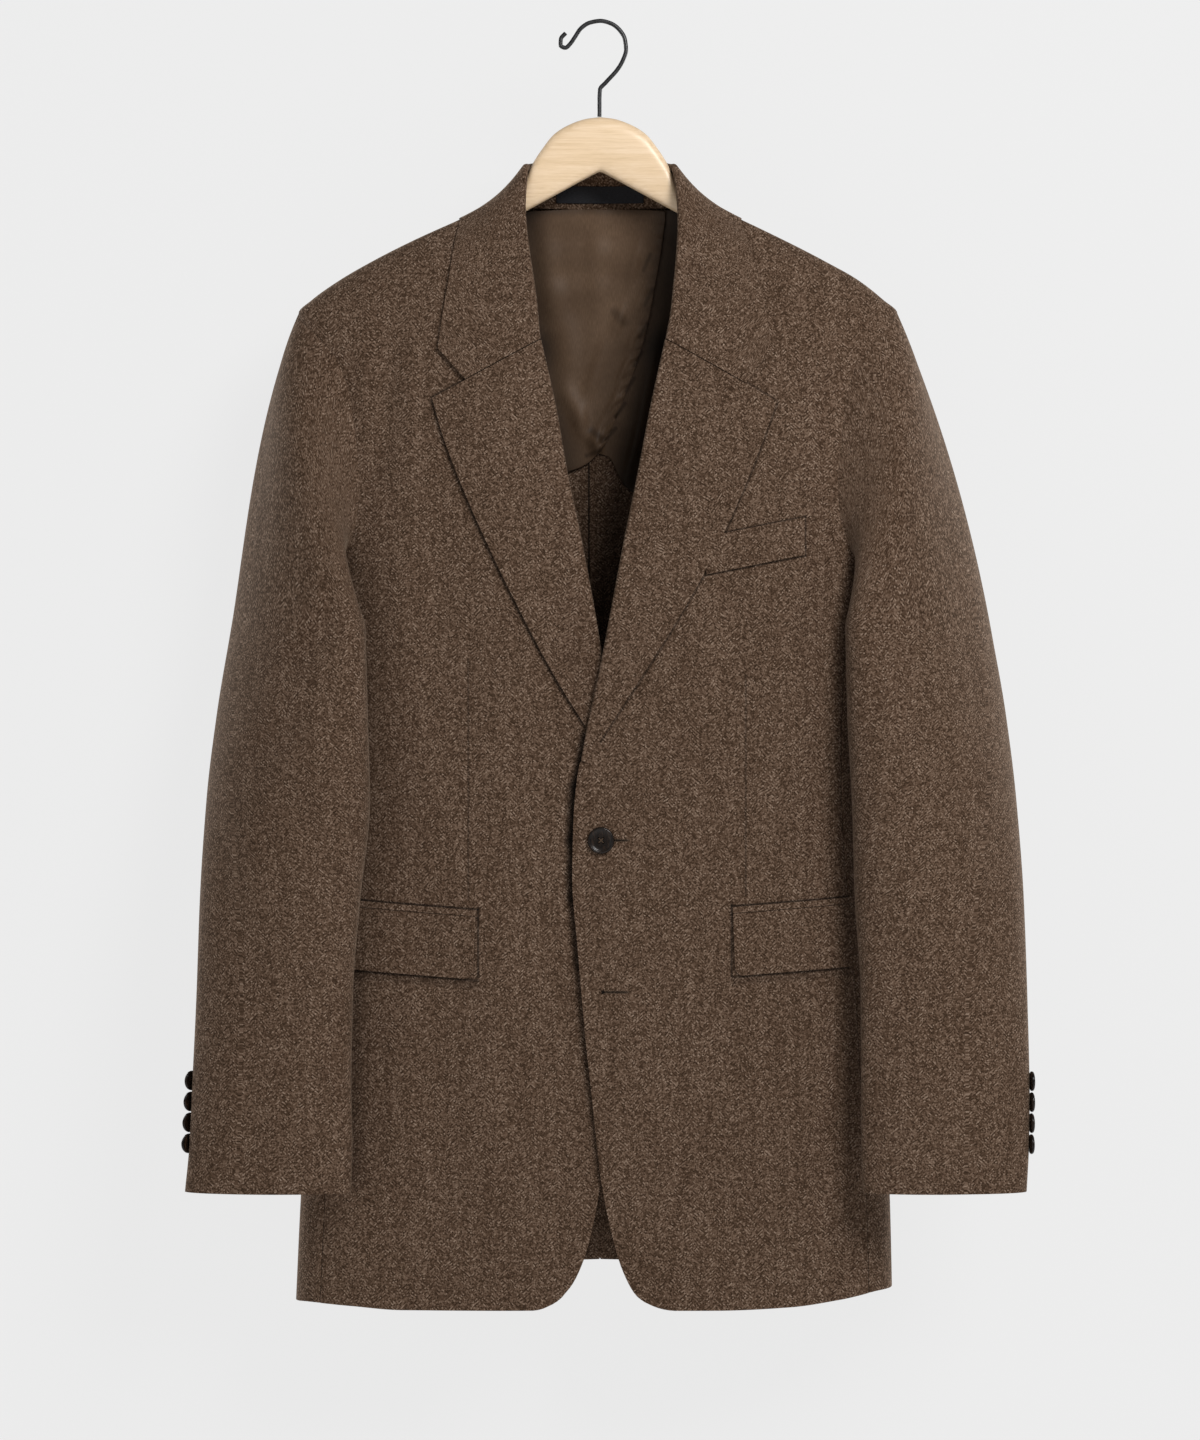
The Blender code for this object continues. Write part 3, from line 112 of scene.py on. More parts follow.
# Horizontal sections of the body, from the hem to the neck. "square" is the exponent of the rounded
# outline. Between the underarm and the shoulder tip the sides are open, as the armholes.
BODY = table(
    "up right left front back square",
    (-966, 228, 219, 47, 46, 3.4),
    (-880, 224, 217, 49, 46, 3.3),
    (-800, 219, 213, 50, 45, 3.2),
    (-700, 210, 207, 49, 43, 3.1),
    (-580, 200, 198, 46, 38, 3.0),
    (-500, 199, 197, 49, 41, 2.9),
    (-420, 204, 202, 52, 44, 2.8),
    (-340, 212, 210, 51, 45, 2.8),
    (-268, 221, 218, 46, 44, 2.7),
    (-236, 226, 223, 41, 43, 2.6),
    (-218, 226, 223, 37, 42, 2.5),
    (-208, 216, 212.5, 34, 41, 2.5),
    (-193, 195, 193.5, 30, 40, 2.4),
    (-178, 169, 167, 26, 39, 2.4),
    (-163, 139.5, 138, 20, 37, 2.3),
    (-148, 106.5, 107, 15, 35, 2.3),
    (-134.5, 77, 77.5, 11, 33.5, 2.3),
)
NECK_UP, TIP_UP = -134.5, -218

# Soft drape folds: long ridges of the body, at a share of the way from centre front to centre back
DRAPE = table(
    "side share top bottom width ridge",
    (LEFT, 0.27, -330, -640, 0.045, 3.0),
    (LEFT, 0.33, -560, -960, 0.05, 3.5),
    (LEFT, 0.17, -700, -960, 0.05, -2.0),
    (RIGHT, 0.28, -340, -660, 0.05, 3.0),
    (RIGHT, 0.33, -600, -960, 0.05, 3.0),
    (RIGHT, 0.18, -640, -940, 0.05, -2.0),
    (LEFT, 0.76, -330, -900, 0.05, 3.5),
    (LEFT, 0.90, -480, -930, 0.05, -2.5),
    (RIGHT, 0.74, -300, -900, 0.05, 3.5),
    (RIGHT, 0.88, -520, -930, 0.05, -2.5),
)

DRAPE_FADE, DRAPE_END = 120, 40  # how far a fold takes to fade, and how far past its bottom it ends

# Heights of the hem at shares of the way from centre front to centre back
HEM = table(
    "share right left",
    (0.00, -959, -959),
    (0.15, -959, -959),
    (0.25, -959, -957),
    (0.33, -956.5, -952),
    (0.42, -955, -946.5),
    (0.50, -956, -945.5),
    (0.65, -948, -941),
    (0.85, -936, -935),
    (1.00, -933, -933),
)

# The armhole, from the shoulder tip down the front and up the back, and where the sleeve's cloth
# heads as it leaves the seam. A row each lies where the two side seams start.
ARMHOLE = table(
    "share up out deep rise",
    (0.500, -218, 0.42, 0.00, -0.91),
    (0.400, -236, 0.62, -0.30, -0.72),
    (0.352, -258, 0.80, -0.38, -0.45),
    (0.338, -295, 0.88, -0.36, -0.32),
    (0.337, -338, 0.86, -0.34, -0.38),
    (0.352, -374, 0.76, -0.38, -0.52),
    (0.400, -403, 0.55, -0.34, -0.76),
    (0.500, -418, 0.30, 0.00, -0.95),
    (0.600, -403, 0.52, 0.30, -0.80),
    (0.642, -370, 0.72, 0.32, -0.60),
    (0.655, -328, 0.86, 0.28, -0.40),
    (0.650, -285, 0.86, 0.30, -0.40),
    (0.620, -250, 0.74, 0.30, -0.60),
    (0.570, -230, 0.58, 0.20, -0.78),
    (0.500, -218, 0.42, 0.00, -0.91),
)
FRONT_SEAM_ROW, BACK_SEAM_ROW = 6, 8
UNDERARM_LEVEL = -400  # where the centre-back seam has as many points above it as the armhole

# Side seams: shares at the underarm, the waist and the hem
SIDE_SEAMS = table(
    "up front back",
    (-960, 0.390, 0.640),
    (-780, 0.385, 0.630),
    (-580, 0.380, 0.610),
    (-403, 0.400, 0.600),
)

# The neck seam from the shoulder down the front, hidden under the collar, then along the back
NECK_FRONT = table("out up", (77, -134.5), (79, -148), (73, -172), (63, -206), (52.6, -240))
NECK_BACK = table("out up", (77, -134.5), (64, -136), (36, -137), (0, -137.5))

# The fold of collar and lapel as seen from the front, down to the break above the button
FOLD_LINE = {
    LEFT: table(
        "out up",
        (52.5, -106), (55, -120), (57.5, -150), (53, -213), (48.3, -240), (41, -272), (27, -344),
        (12.5, -416), (1.5, -478), (-5, -505), (-11.5, -538), (-14, -552),
    ),
    RIGHT: table(
        "out up",
        (53, -106), (54, -120), (55, -140), (46.5, -213), (43.7, -240), (36, -272), (24.4, -337),
        (12.6, -394), (-0.7, -468), (-7, -510), (-11.5, -540), (-13.5, -552),
    ),
}

# Heights at which the fronts are divided beside the fold, and the free edge below it: past the
# buttons, round the cutaway and onto the hem
FOLD_UPS = (-290, -340, -390, -440, -490, -530, -552.5)
FRONT_EDGE = {
    LEFT: table(
        "out up",
        (-14.8, -554.4), (-19.3, -590), (-20.5, -640), (-16.5, -692), (-11.5, -750), (-5.5, -806),
        (0.7, -862), (8, -899), (17, -930), (30, -950.5), (53, -957.5),
    ),
    RIGHT: table(
        "out up",
        (-17, -561), (-20, -595), (-20.5, -640), (-19, -690), (-15.5, -745), (-9, -806),
        (-1, -862), (5, -895), (12.5, -923), (25, -945.5), (47, -957.5),
    ),
}

# Lapel edges, from the point at the notch to the break, and the ends of the collar
LAPEL_EDGE = {
    LEFT: table(
        "out up", (130.6, -287.3), (111.4, -339), (76, -415.7), (21.4, -505), (-10.6, -553.6)
    ),
    RIGHT: table(
        "out up", (124, -285), (115, -316), (44.3, -471), (10.3, -528), (-7, -553)
    ),
}
NOTCH = {LEFT: (108.1, -273.9), RIGHT: (99.2, -271.7)}

# How far the wearer's right front lies behind the left, which covers it
SET_BACK = table(
    "up by", (-966, 2.5), (-870, 4), (-740, 8), (-300, 8), (-236, 3), (-134.5, 0)
)
SET_BACK_FROM, SET_BACK_TO = -80, -8  # the X between which it comes in

# Sections of the collar from centre back to the gorge: its seam is the neck seam, and these are
# the fold and the free edge. "swell" is how far the fall bows out between them, and "turn" the
# heading, seen from the top, of the side that shows.
COLLAR = table(
    "share fold_out fold_deep fold_up edge_right edge_left edge_deep edge_up swell turn",
    (0.00, 0, 34.5, -101, 0, 0, 42, -157, 2.2, 90),
    (0.14, 30, 31.0, -101, 44, 44, 41, -157, 2.0, 86),
    (0.26, 48, 19.5, -104.5, 78, 78, 34, -154, -0.5, 60),
    (0.35, 54, 6.5, -107.5, 96, 96, 15, -147, -4.0, 18),
    (0.43, 55.5, -4.5, -109, 103, 103.5, -3, -147, -4.5, -22),
    (0.50, 57, -13.0, -118, 106, 107, -13, -157, -2.5, -55),
    (0.58, 58, -19.5, -143, 109, 112, -21, -172, -0.5, -76),
    (0.70, 56.5, -26.5, -176, 112.5, 118, -28, -196, 0, -90),
    (0.84, 53, -33, -210, 116.5, 123, -31, -222, 0, -90),
    (1.00, 48.3, -40.0, -240, 120, 127.4, -34, -248, 0, -90),
)
NECK_POINT = 0.4  # the share at which the collar passes the shoulder seam
SHOULDER_TILT = (0.8, 0.6)  # where the collar faces sideways, how far it faces out and up
CORNER_AT = 0.74  # the share of the fall's height at which it turns at the notch
# The free edge lies closest at the shoulder: by what share, where and over what part of the
# collar, and by what share behind it
CLOSE_BY, CLOSE_AT, CLOSE_OVER, CLOSE_BEHIND = 0.9, 0.46, 0.14, 0.4
COLLAR_FRONT_STATIONS = range(8, 10 * FINER + 1, 2)  # of the points down the front's neck

# Sleeves below the armhole: where their sides, front and back lie. "lean" turns the section, so
# that its inner edge comes forward and its outer edge goes back.
SLEEVE = table(
    "up in_right in_left out_right out_left front back lean",
    (-868, 182, 192, 304.0, 312.5, -92, -54, 8),
    (-834, 181, 191, 301.0, 314.5, -92, -50, 9),
    (-790, 182, 191, 299.5, 315.5, -91, -43, 12),
    (-724, 181, 191, 297.5, 315.0, -89, -30, 18),
    (-656, 176, 187, 296.5, 314.0, -86, -14, 24),
    (-582, 169, 185, 293.5, 310.5, -80, 4, 32),
    (-518, 171, 182, 287.5, 304.5, -72, 20, 38),
    (-455, 173, 181, 278.5, 295.0, -64, 34, 42),
)
SLEEVE_TOP = -455
SLEEVE_UPS = (-455, -486, -518, -550, -582, -619, -656, -690, -724, -757, -790, -834, -868)
BACK_SEAM_STEPS_UP = 3 * FINER  # from the side seam up the back armhole to the sleeve's back seam
SEAM_LEAD_TOP = 58  # degrees by which the back seam lies behind the outer edge
SEAM_LEAD_CUFF = {RIGHT: 8, LEFT: -6}
SEAM_STRAIGHT_UP = -760  # the height from which it runs straight down to the cuff
CAP_PULL = 0.9  # how far the cloth between armhole and sleeve keeps its headings
BODY_CLEARANCE = 4.5  # from the body to a sleeve that lies along it

# Soft bends of the sleeves: a ridge across the section at a height, on the front or outer side
SLEEVE_FOLDS = table(
    "side up height heading width ridge",
    (RIGHT, -560, 55, 270, 70, 3.5),
    (RIGHT, -690, 45, 300, 60, -3.0),
    (LEFT, -600, 60, 265, 60, 3.5),
    (LEFT, -740, 50, 250, 60, -3.0),
)

# Pockets, on the fronts: the inner end of each, its slope and its size
POCKET = {
    RIGHT: {"out": 90.8, "up": -668.2},
    LEFT: {"out": 98.0, "up": -665.8},
}
POCKET_RISE = 0.075  # the outer end is higher
POCKET_END_SHARE = 0.47
POCKET_SHARES = (0, 0.035, 0.2, 0.36, 0.52, 0.66, 0.78, 0.9, 1)  # at which it is divided
POCKET_FINER = 5
FLAP_HEIGHT, JET_HEIGHT, FLAP_CORNER = 46.0, 4.6, 5.0
WELT = {"inner": 78.0, "outer": 151.0, "up": -373.0, "rise": 0.2, "height": 28.0}

# Buttonholes of the left front: from the eye near the edge to the inner end, and their height
BUTTONHOLES = {"upper": (0.7, 21.5, -611.6), "lower": (1.0, 21.5, -723.5)}
HOLE_HALF, EYE_HALF, EYE_OVER = 0.75, 1.5, 5.0  # half widths of the stitched ring and of its eye
# The slit and the eye are drawn as near-black strands: painted shade inside the opening
STITCHES, SLIT, EYE = 0.36, 0.32, 1.5  # radii of the strands that draw them

# Half linings of the back: the right one lies over the left one, its edge falls from the neck
LINING_OVERLAP_EDGE = table("out up", (51, -140), (45.6, -173), (34, -232), (16, -284), (4, -314))
LINING_INNER_EDGE = table("out up", (-30, -140), (-22, -318))  # of the left lining, hidden
LINING_SIDE = 165.0
LINING_STEPS = 60
NECK_REACH = (52, 80)  # the distances from the centre between which it goes under the shoulder
LINING_TOP, LINING_BELOW_SHOULDER = -135.6, 12.0
LINING_HEM = {
    RIGHT: table("out up", (165, -352), (90, -343), (23, -333.5), (10, -328), (-4, -314)),
    LEFT: table("out up", (-22, -318), (5, -322), (18, -344), (60, -368), (165, -392)),
}
LINING_DEPTH = {RIGHT: 4.9, LEFT: 3.2}  # from the outside of the back to the lining's own back

# The hanger: its wooden arms, and the wire hook
DOME = table(
    "out up",
    (0, -70.6), (10, -71.8), (22, -75.8), (34, -83), (43, -94), (51, -106.5), (55.5, -117),
    (57.3, -123), (60, -128), (68, -136.5), (80, -143.5),
)
ARM_UNDER_SHOULDER = table("out down", (80, 8), (100, 5.5), (130, 3.8), (203, 3.2))
WOOD_SLIMNESS = table(
    "out by", (0, 1), (50, 1), (62, 0.8), (104, 0.85), (140, 1), (185, 1), (203, 0.65)
)
DOME_DEPTH, DOME_END = 60, 60  # the most that the wood is high, and how far out that holds
WOOD_BOTTOM, WOOD_BOTTOM_SLOPE = -112.0, 0.545
WOOD_SECTION = table(
    "down half", (0, 1.5), (1.6, 4.2), (5, 6.4), (12, 7.5), (20, 6.2), (24, 2.5)
)
WOOD_STATIONS = (0, 5, 14, 26, 36, 44, 50, 54, 57.3, 62, 70, 82, 102, 126, 148, 168, 184, 196, 203)
NOTCH_ROUND = 1.5  # where the lower edges meet over the label

# The hook, as its wire is bent
HOOK_STEM = ((-0.4, -70.2), (-0.4, -58.0), (0.0, -50.0), (4.5, -44.5), (13.0, -35.0))
HOOK_RADIUS, HOOK_CENTRE = 20.0, (-0.4, -18.4)
HOOK_FROM, HOOK_TO = -28, 157  # degrees from +X
HOOK_CURL = ((-22.5, -15.8), (-26.0, -18.6), (-29.6, -16.8), (-29.3, -12.0), (-25.8, -7.6))

# Creases, each a soft trough between two low ridges. "x" is the place in the front view, "lean" the
# degrees its top leans towards +X, "long" and "wide" its half sizes.
FRONT_CREASES = table(
    "x up lean long wide depth",
    (-158, -279, 3, 46, 9, 2.2),
    (-167, -335, 27, 28, 9, 1.7),
    (180, -258, 2, 34, 9, 1.5),
    (-122, -420, 4, 90, 15, 0.9),
    (-62, -760, -3, 110, 18, 1.0),
    (-120, -810, 5, 110, 20, 1.1),
    (-168, -760, -2, 100, 14, 1.0),
    (66, -800, 3, 120, 20, 1.0),
    (132, -790, -4, 110, 17, 1.2),
    (176, -840, 2, 80, 13, 1.0),
    (98, -440, -4, 70, 14, 0.8),
    (146, -500, 5, 80, 16, 1.0),
    (-150, -560, -5, 80, 14, 1.1),
    (-52, -603, 74, 30, 11, 0.7),
    (58, -596, -72, 36, 11, 0.7),
    (48, -634, 66, 30, 10, 0.5),
    (-48, -645, -64, 32, 10, 0.5),
)
BACK_CREASES = table(
    "x up lean long wide depth",
    (-150, -335, -8, 80, 15, 2.0),
    (152, -345, 9, 84, 15, 2.0),
    (-98, -232, 28, 44, 12, 1.3),
    (96, -236, -26, 46, 12, 1.3),
    (6, -172, 88, 60, 9, 1.5),
    (-20, -196, 80, 44, 8, 0.8),
    (-62, -600, -6, 120, 20, 1.6),
    (70, -630, 7, 130, 19, 1.5),
    (-132, -770, 4, 130, 19, 1.9),
    (134, -800, -4, 130, 20, 1.9),
    (-60, -850, -3, 90, 17, 1.3),
    (66, -880, 4, 70, 15, 1.2),
)
SLEEVE_FRONT_CREASES = table(
    "x up lean long wide depth",
    (-208, -462, 32, 40, 10, 1.8),
    (-238, -535, 40, 38, 11, 1.5),
    (-214, -600, -36, 34, 10, 1.2),
    (-262, -410, 8, 66, 12, 1.3),
    (-246, -300, 14, 40, 10, 1.2),
    (-274, -640, -10, 60, 12, 1.2),
    (-214, -702, 24, 42, 10, 1.2),
    (-252, -790, 5, 56, 12, 1.0),
    (214, -474, -31, 40, 10, 1.8),
    (246, -545, -39, 38, 11, 1.5),
    (222, -612, 36, 34, 10, 1.2),
    (268, -424, -8, 66, 12, 1.3),
    (243, -306, -13, 38, 10, 1.2),
    (286, -652, 10, 58, 12, 1.2),
    (224, -706, -25, 42, 10, 1.2),
    (260, -798, -5, 54, 12, 1.0),
)
SLEEVE_BACK_CREASES = table(
    "x up lean long wide depth",
    (-230, -452, 42, 40, 11, 2.0),
    (-250, -520, 30, 46, 11, 1.7),
    (-246, -585, -28, 40, 11, 1.4),
    (-228, -668, 16, 50, 12, 1.3),
    (-262, -760, -6, 60, 12, 1.2),
    (234, -460, -40, 40, 11, 2.0),
    (252, -530, -32, 46, 11, 1.7),
    (250, -596, 27, 40, 11, 1.4),
    (236, -676, -17, 50, 12, 1.3),
    (268, -768, 7, 60, 12, 1.2),
)
LINING_CREASES = table(
    "x up lean long wide depth",
    (15, -218, 18, 13, 4.5, -3.4),
    (-1, -306, 10, 14, 4.5, -3.2),
    (-4, -312, -50, 10, 4, -2.4),
    (26, -176, 14, 20, 4, -2.2),
    (30, -204, 22, 14, 3.5, -2.4),
    (25, -232, 26, 12, 3.5, -2.4),
    (18, -256, 30, 12, 3.5, -2.6),
    (10, -280, 30, 12, 3.5, -2.6),
    (-24, -230, -6, 60, 9, -2.4),
    (-40, -190, -4, 50, 8, -2.2),
    (-4, -186, 3, 48, 9, -2.0),
    (-16, -292, -28, 26, 6, -2.6),
    (-4, -262, 16, 34, 6, -2.4),
    (36, -270, 12, 40, 5, -3.0),
    (26, -318, 16, 24, 5, -3.0),
)
RIDGE_OFF, RIDGE_SHARE = 1.9, 0.45  # a crease's ridges: half widths off, and share of its depth
SLOW_WAVE, QUICK_WAVE = 0.32, 0.11  # heights of the unevenness of all cloth
RUFFLE_PITCH, RUFFLE_REACH, RUFFLE_HEIGHT = 11.0, 8.0, 2.6  # along the free edge of the lining
BACK_TURNINGS = {"ends": (-145, -932), "right": 9.0, "left": 11.0, "wall": 0.6}

# Painted shade: lines along which the colour of the cloth is darkened towards near black, where
# cloth is sewn or laid down and keeps the light out, as x, up, x, up, strength, half width. On the
# fronts these are the darts, the edges of the pockets, the welt and the lapels, the shade beside
# the sleeves, and the deep shade beside the front edge.
FRONT_PAINTED_SHADE = {
    RIGHT: (
        (-97.3, -478, -97.3, -655, 0.4, 1.3),
        (-90.0, -661.5, -90.0, -712.5, 0.7, 1.6),
        (-90.6, -715.0, -182, -708.1, 0.6, 2.2),
        (-90.0, -662.6, -182, -655.7, 0.75, 1.3),
        (-90.0, -669.0, -182, -662.1, 0.6, 1.3),
        (-92.0, -718.0, -182, -711.1, 0.3, 6),
        (-184.0, -480.0, -186, -860.0, 0.3, 18),
        (-100.5, -271.2, -124.5, -284.2, 0.6, 1.5),
        (-11, -535, -18, -572, 0.8, 6),
        (-18, -572, -20.5, -612, 0.9, 9),
        (-20.5, -612, -20.0, -655, 0.8, 8),
        (-20.0, -655, -15.6, -705, 0.6, 6),
        (-15.6, -705, -8.4, -780, 0.4, 4),
        (-8.4, -780, 0.7, -862, 0.3, 3),
    ),
    LEFT: (
        (107.7, -490, 107.7, -652, 0.4, 1.3),
        (97.2, -659, 97.2, -711, 0.7, 1.6),
        (97.8, -712.6, 184, -706.1, 0.6, 2.2),
        (99.0, -716.0, 184, -709.5, 0.25, 5),
        (97.2, -660.2, 184, -653.7, 0.75, 1.3),
        (97.2, -666.6, 184, -660.1, 0.6, 1.3),
        (79, -387.0, 151.6, -372.4, 0.6, 1.3),
        (151.8, -372.4, 151.8, -401.2, 0.6, 1.3),
        (78, -416.2, 151.8, -401.6, 0.6, 1.3),
        (109, -273.2, 131, -286.5, 0.45, 1.3),
    ),
}
# Painted shade on the backs, under the free edge of the collar and down the seam
BACK_SHADE = (
    (-80, -155.5, -44, -158.8, 0.6, 2.6),
    (-44, -158.8, 44, -158.8, 0.6, 2.6),
    (44, -158.8, 80, -155.5, 0.6, 2.6),
    (0, -160, 0, -970, 0.6, 1.4),
)
# Painted shade on the lining, towards the lapels and the collar, and in its dents and puckers
LINING_SHADE = (
    (-56, -140, -47, -240, 0.6, 22),
    (-47, -240, -26, -340, 0.6, 22),
    (60, -140, 49, -240, 0.8, 26),
    (49, -240, 22, -350, 0.8, 26),
    (-60, -136, 60, -136, 0.45, 7),
    (11, -213, 18, -221, 0.34, 6),
    (-6, -303, 2, -310, 0.5, 5),
    (-10, -322, 0, -318, 0.45, 3),
    (38, -170, 33, -182, 0.4, 2.5),
    (40, -196, 34, -208, 0.4, 2.5),
    (36, -222, 30, -232, 0.45, 2.5),
    (32, -243, 26, -254, 0.45, 2.5),
    (26, -263, 20, -273, 0.45, 2.5),
    (19, -282, 12, -292, 0.5, 2.5),
    (12, -301, 5, -309, 0.5, 2.5),
)
# Painted shade on the inside of the centre-back seam, and the strength and half width of the
# painted shade under a lapel's free edge
SEAM_SHADE = ((-8.6, -300, -8.6, -700, 0.85, 1.6),)
LAPEL_SHADE = (0.5, 1.4)

# The weave of the flannel
TWILL_PITCH = 2 / 0.75  # mm up the cloth, about twice the real 1.4 mm, so that the ribs show
TWILL_COLUMN = 9.0  # mm, before the ribs turn back the other way
TWILL_STEP = 5.37  # mm by which the ribs of the next column start higher
YARN_CELLS = (0.75, 0.64, 1)  # stretches of one shade: so many a mm along and across the ribs

# Studio
PALE = "#ededed"  # of the background
ROOM_LIGHT, WALL_GLOW, FLOOR_GLOW = 0.24, 0.92, 0.5
LAMPS = (  # name, place in metres, size in metres and watts
    ("key", (1.0, -1.9, 0.8), 1.1, 46.0),
    ("fill", (-1.8, -2.2, -0.2), 2.0, 5.0),
    ("behind right", (1.5, 1.0, -0.2), 1.2, 22.0),
    ("behind left", (-1.5, 1.0, -0.2), 1.2, 22.0),
)
MIDDLE = (0, 0, -0.52275)  # of the photograph's view, in metres
LENS, SENSOR, CAMERA_OFF = 100, 36, 3  # mm, mm and metres: the view is 1.08 m high at the part


# Curves through points


def smooth(values, known, results):
    """A curve through the known points that never swings past them, read at the values."""
    results = np.asarray(results, float)
    spare = (1,) * (results.ndim - 1)
    steps = np.diff(known).reshape(-1, *spare)
    rises = np.diff(results, axis=0)
    slopes = rises / steps
    product = slopes[1:] * slopes[:-1]
    total = slopes[1:] + slopes[:-1]
    safe = np.where(product > 0, total, 1)
    inner = np.where(product > 0, 2 * product / safe, 0)
    tangents = np.concatenate([slopes[:1], inner, slopes[-1:]])
    values = np.clip(values, known[0], known[-1])
    i = np.clip(np.searchsorted(known, values) - 1, 0, len(known) - 2)
    t = (values - np.asarray(known)[i]) / np.diff(known)[i]
    t = np.reshape(t, np.shape(t) + spare)
    ease_in = t * t * (3 - 2 * t)
    start, end = tangents[i] * steps[i], tangents[i + 1] * steps[i]
    return results[i] + ease_in * rises[i] + t * (1 - t) * ((1 - t) * start - t * end)


def finer(values, times=FINER):
    """The same line or grid with more rows, through the given ones."""
    known = np.arange(len(values))
    count = (len(values) - 1) * times + 1
    return smooth(np.linspace(0, len(values) - 1, count), known, np.asarray(values, float))


ARMHOLE_SHARES = finer(SEAM_SHARES)  # at which an armhole or neck seam is divided


def knots(points):
    """The share of the whole length at which each point of a line lies."""
    lengths = np.linalg.norm(np.diff(points, axis=0), axis=1)
    return np.concatenate([[0], np.cumsum(lengths)]) / lengths.sum()


def along(points, shares):
    """Points at shares of the length of a smooth line through the given points."""
    points = np.asarray(points, float)
    return np.stack([smooth(np.asarray(shares), knots(points), axis) for axis in points.T], -1)


def rows_of(columns, *names):
    """The named columns of a table, side by side."""
    return np.stack([columns[name] for name in names], -1)


def unit(vectors):
    return vectors / np.maximum(np.linalg.norm(vectors, axis=-1, keepdims=True), 1e-9)


def mix(start, end, share):
    return start + (end - start) * share


def ease(value, low, high):
    """0 up to low, 1 from high, and a soft step between."""
    t = np.clip((value - low) / (high - low), 0, 1)
    return t * t * (3 - 2 * t)


# The body's surface


def section(column, up):
    return smooth(up, BODY["up"], BODY[column])


def half_width(side, up):
    return np.where(side < 0, section("right", up), section("left", up))


def drape(around, up):
    """How far the folds lift the cloth at a place on the body. They fade in and out softly."""
    lift = np.zeros(np.broadcast(around, up).shape)
    for side, share, top, bottom, width, ridge in zip(*DRAPE.values()):
        across = np.exp(-(((around - side * share) / width) ** 2))
        fade_in = ease(up, top, top - DRAPE_FADE)
        lift += ridge * across * fade_in * ease(up, bottom - DRAPE_END, bottom + DRAPE_FADE)
    return lift


def crease(creases, x, up):
    """How far the creases of a table push the cloth out at a place of the front view."""
    lift = np.zeros(np.broadcast(x, up).shape)
    for centre, level, lean, long, wide, depth in zip(*creases.values()):
        turn = math.radians(lean)
        lengthwise = (x - centre) * math.sin(turn) + (up - level) * math.cos(turn)
        across = ((x - centre) * math.cos(turn) - (up - level) * math.sin(turn)) / wide
        ridges = np.exp(-((across - RIDGE_OFF) ** 2)) + np.exp(-((across + RIDGE_OFF) ** 2))
        trough = RIDGE_SHARE * ridges - np.exp(-(across**2))
        lift += depth * trough * np.exp(-((lengthwise / long) ** 2))
    return lift


def unevenness(x, up):
    """Low soft waves, all over, so that no panel is quite flat."""
    slow = np.sin(x / 21 + 1.3 * np.sin(up / 83)) * np.sin(up / 67 + 0.8 * np.sin(x / 57))
    quick = np.sin(x / 9.5 + 2 * np.sin(up / 61)) * np.sin(up / 38 + x / 31)
    return SLOW_WAVE * slow + QUICK_WAVE * quick


def body(around, up, creased=True):
    """The outside of the body: around is 0 at centre front, +1 or -1 at centre back."""
    around = (np.asarray(around, float) + 1) % 2 - 1
    up = np.asarray(up, float)
    share = np.abs(around)
    quarter = 1 - np.abs(1 - 2 * share)
    square = section("square", up)
    angle = math.pi / 2 * quarter ** (square / 2)
    side = np.where(around < 0, -1, 1)
    out = half_width(side, up) * np.sin(angle) ** (2 / square)
    level = np.maximum(np.cos(angle), 0) ** (2 / square)
    lift = 0.0
    if creased:
        lift = drape(around, up) + unevenness(side * out, up)
        creases = [crease(rows, side * out, up) for rows in (FRONT_CREASES, BACK_CREASES)]
        lift = (lift + np.where(share < 0.5, *creases)) * level
    front, back = -section("front", up) * level - lift, section("back", up) * level + lift
    deep = np.where(share < 0.5, front, back)
    return np.stack(np.broadcast_arrays(side * out, deep, up), -1)


def around_at(out, up, side, face):
    """The place around the body of a point seen from the front (face -1) or the back (face 1)."""
    x = np.asarray(out, float) * side
    sign = np.where(x < 0, -1, 1)
    square = section("square", up)
    ratio = np.clip(np.abs(x) / half_width(sign, up), 0, 1)
    quarter = (np.arcsin(ratio ** (square / 2)) / (math.pi / 2)) ** (2 / square)
    share = quarter / 2 if face < 0 else 1 - quarter / 2
    around = sign * share
    if face > 0:
        around = np.where(sign != side, around + 2 * side, around)
    return around


def set_back(x, up):
    """How far the right front lies in from the common surface."""
    return smooth(up, SET_BACK["up"], SET_BACK["by"]) * ease(x, SET_BACK_FROM, SET_BACK_TO)


def panel_surface(side):
    """The outside of one side's panels, as a function of the place around and the height."""

    def surface(around, up):
        points = body(around, up)
        if side == RIGHT:
            in_front = np.asarray(around, float) > -0.5
            points[..., 1] += np.where(in_front, set_back(points[..., 0], points[..., 2]), 0)
        return points

    return surface


def front_point(side, out, up, lift=0.0):
    """A point on one front, moved out by lift, from its place in the front view."""
    around = around_at(out, up, side, -1)
    around = np.where(np.asarray(out) < 0, -np.abs(around) * side, around)
    return moved_out(panel_surface(side), around, up, lift)


def normals(surface, around, up):
    """Unit normals of a surface, from the places close by."""
    step_around, step_up = 0.004, 1.0
    low, high = surface(around - step_around, up), surface(around + step_around, up)
    below, above = surface(around, up - step_up), surface(around, up + step_up)
    return unit(np.cross(high - low, above - below))


def moved_out(surface, around, up, lift):
    """Points moved off a surface by a lift."""
    around, up = np.broadcast_arrays(np.asarray(around, float), np.asarray(up, float))
    lift = np.asarray(lift, float)[..., None] if np.ndim(lift) else lift
    return surface(around, up) + lift * normals(surface, around, up)


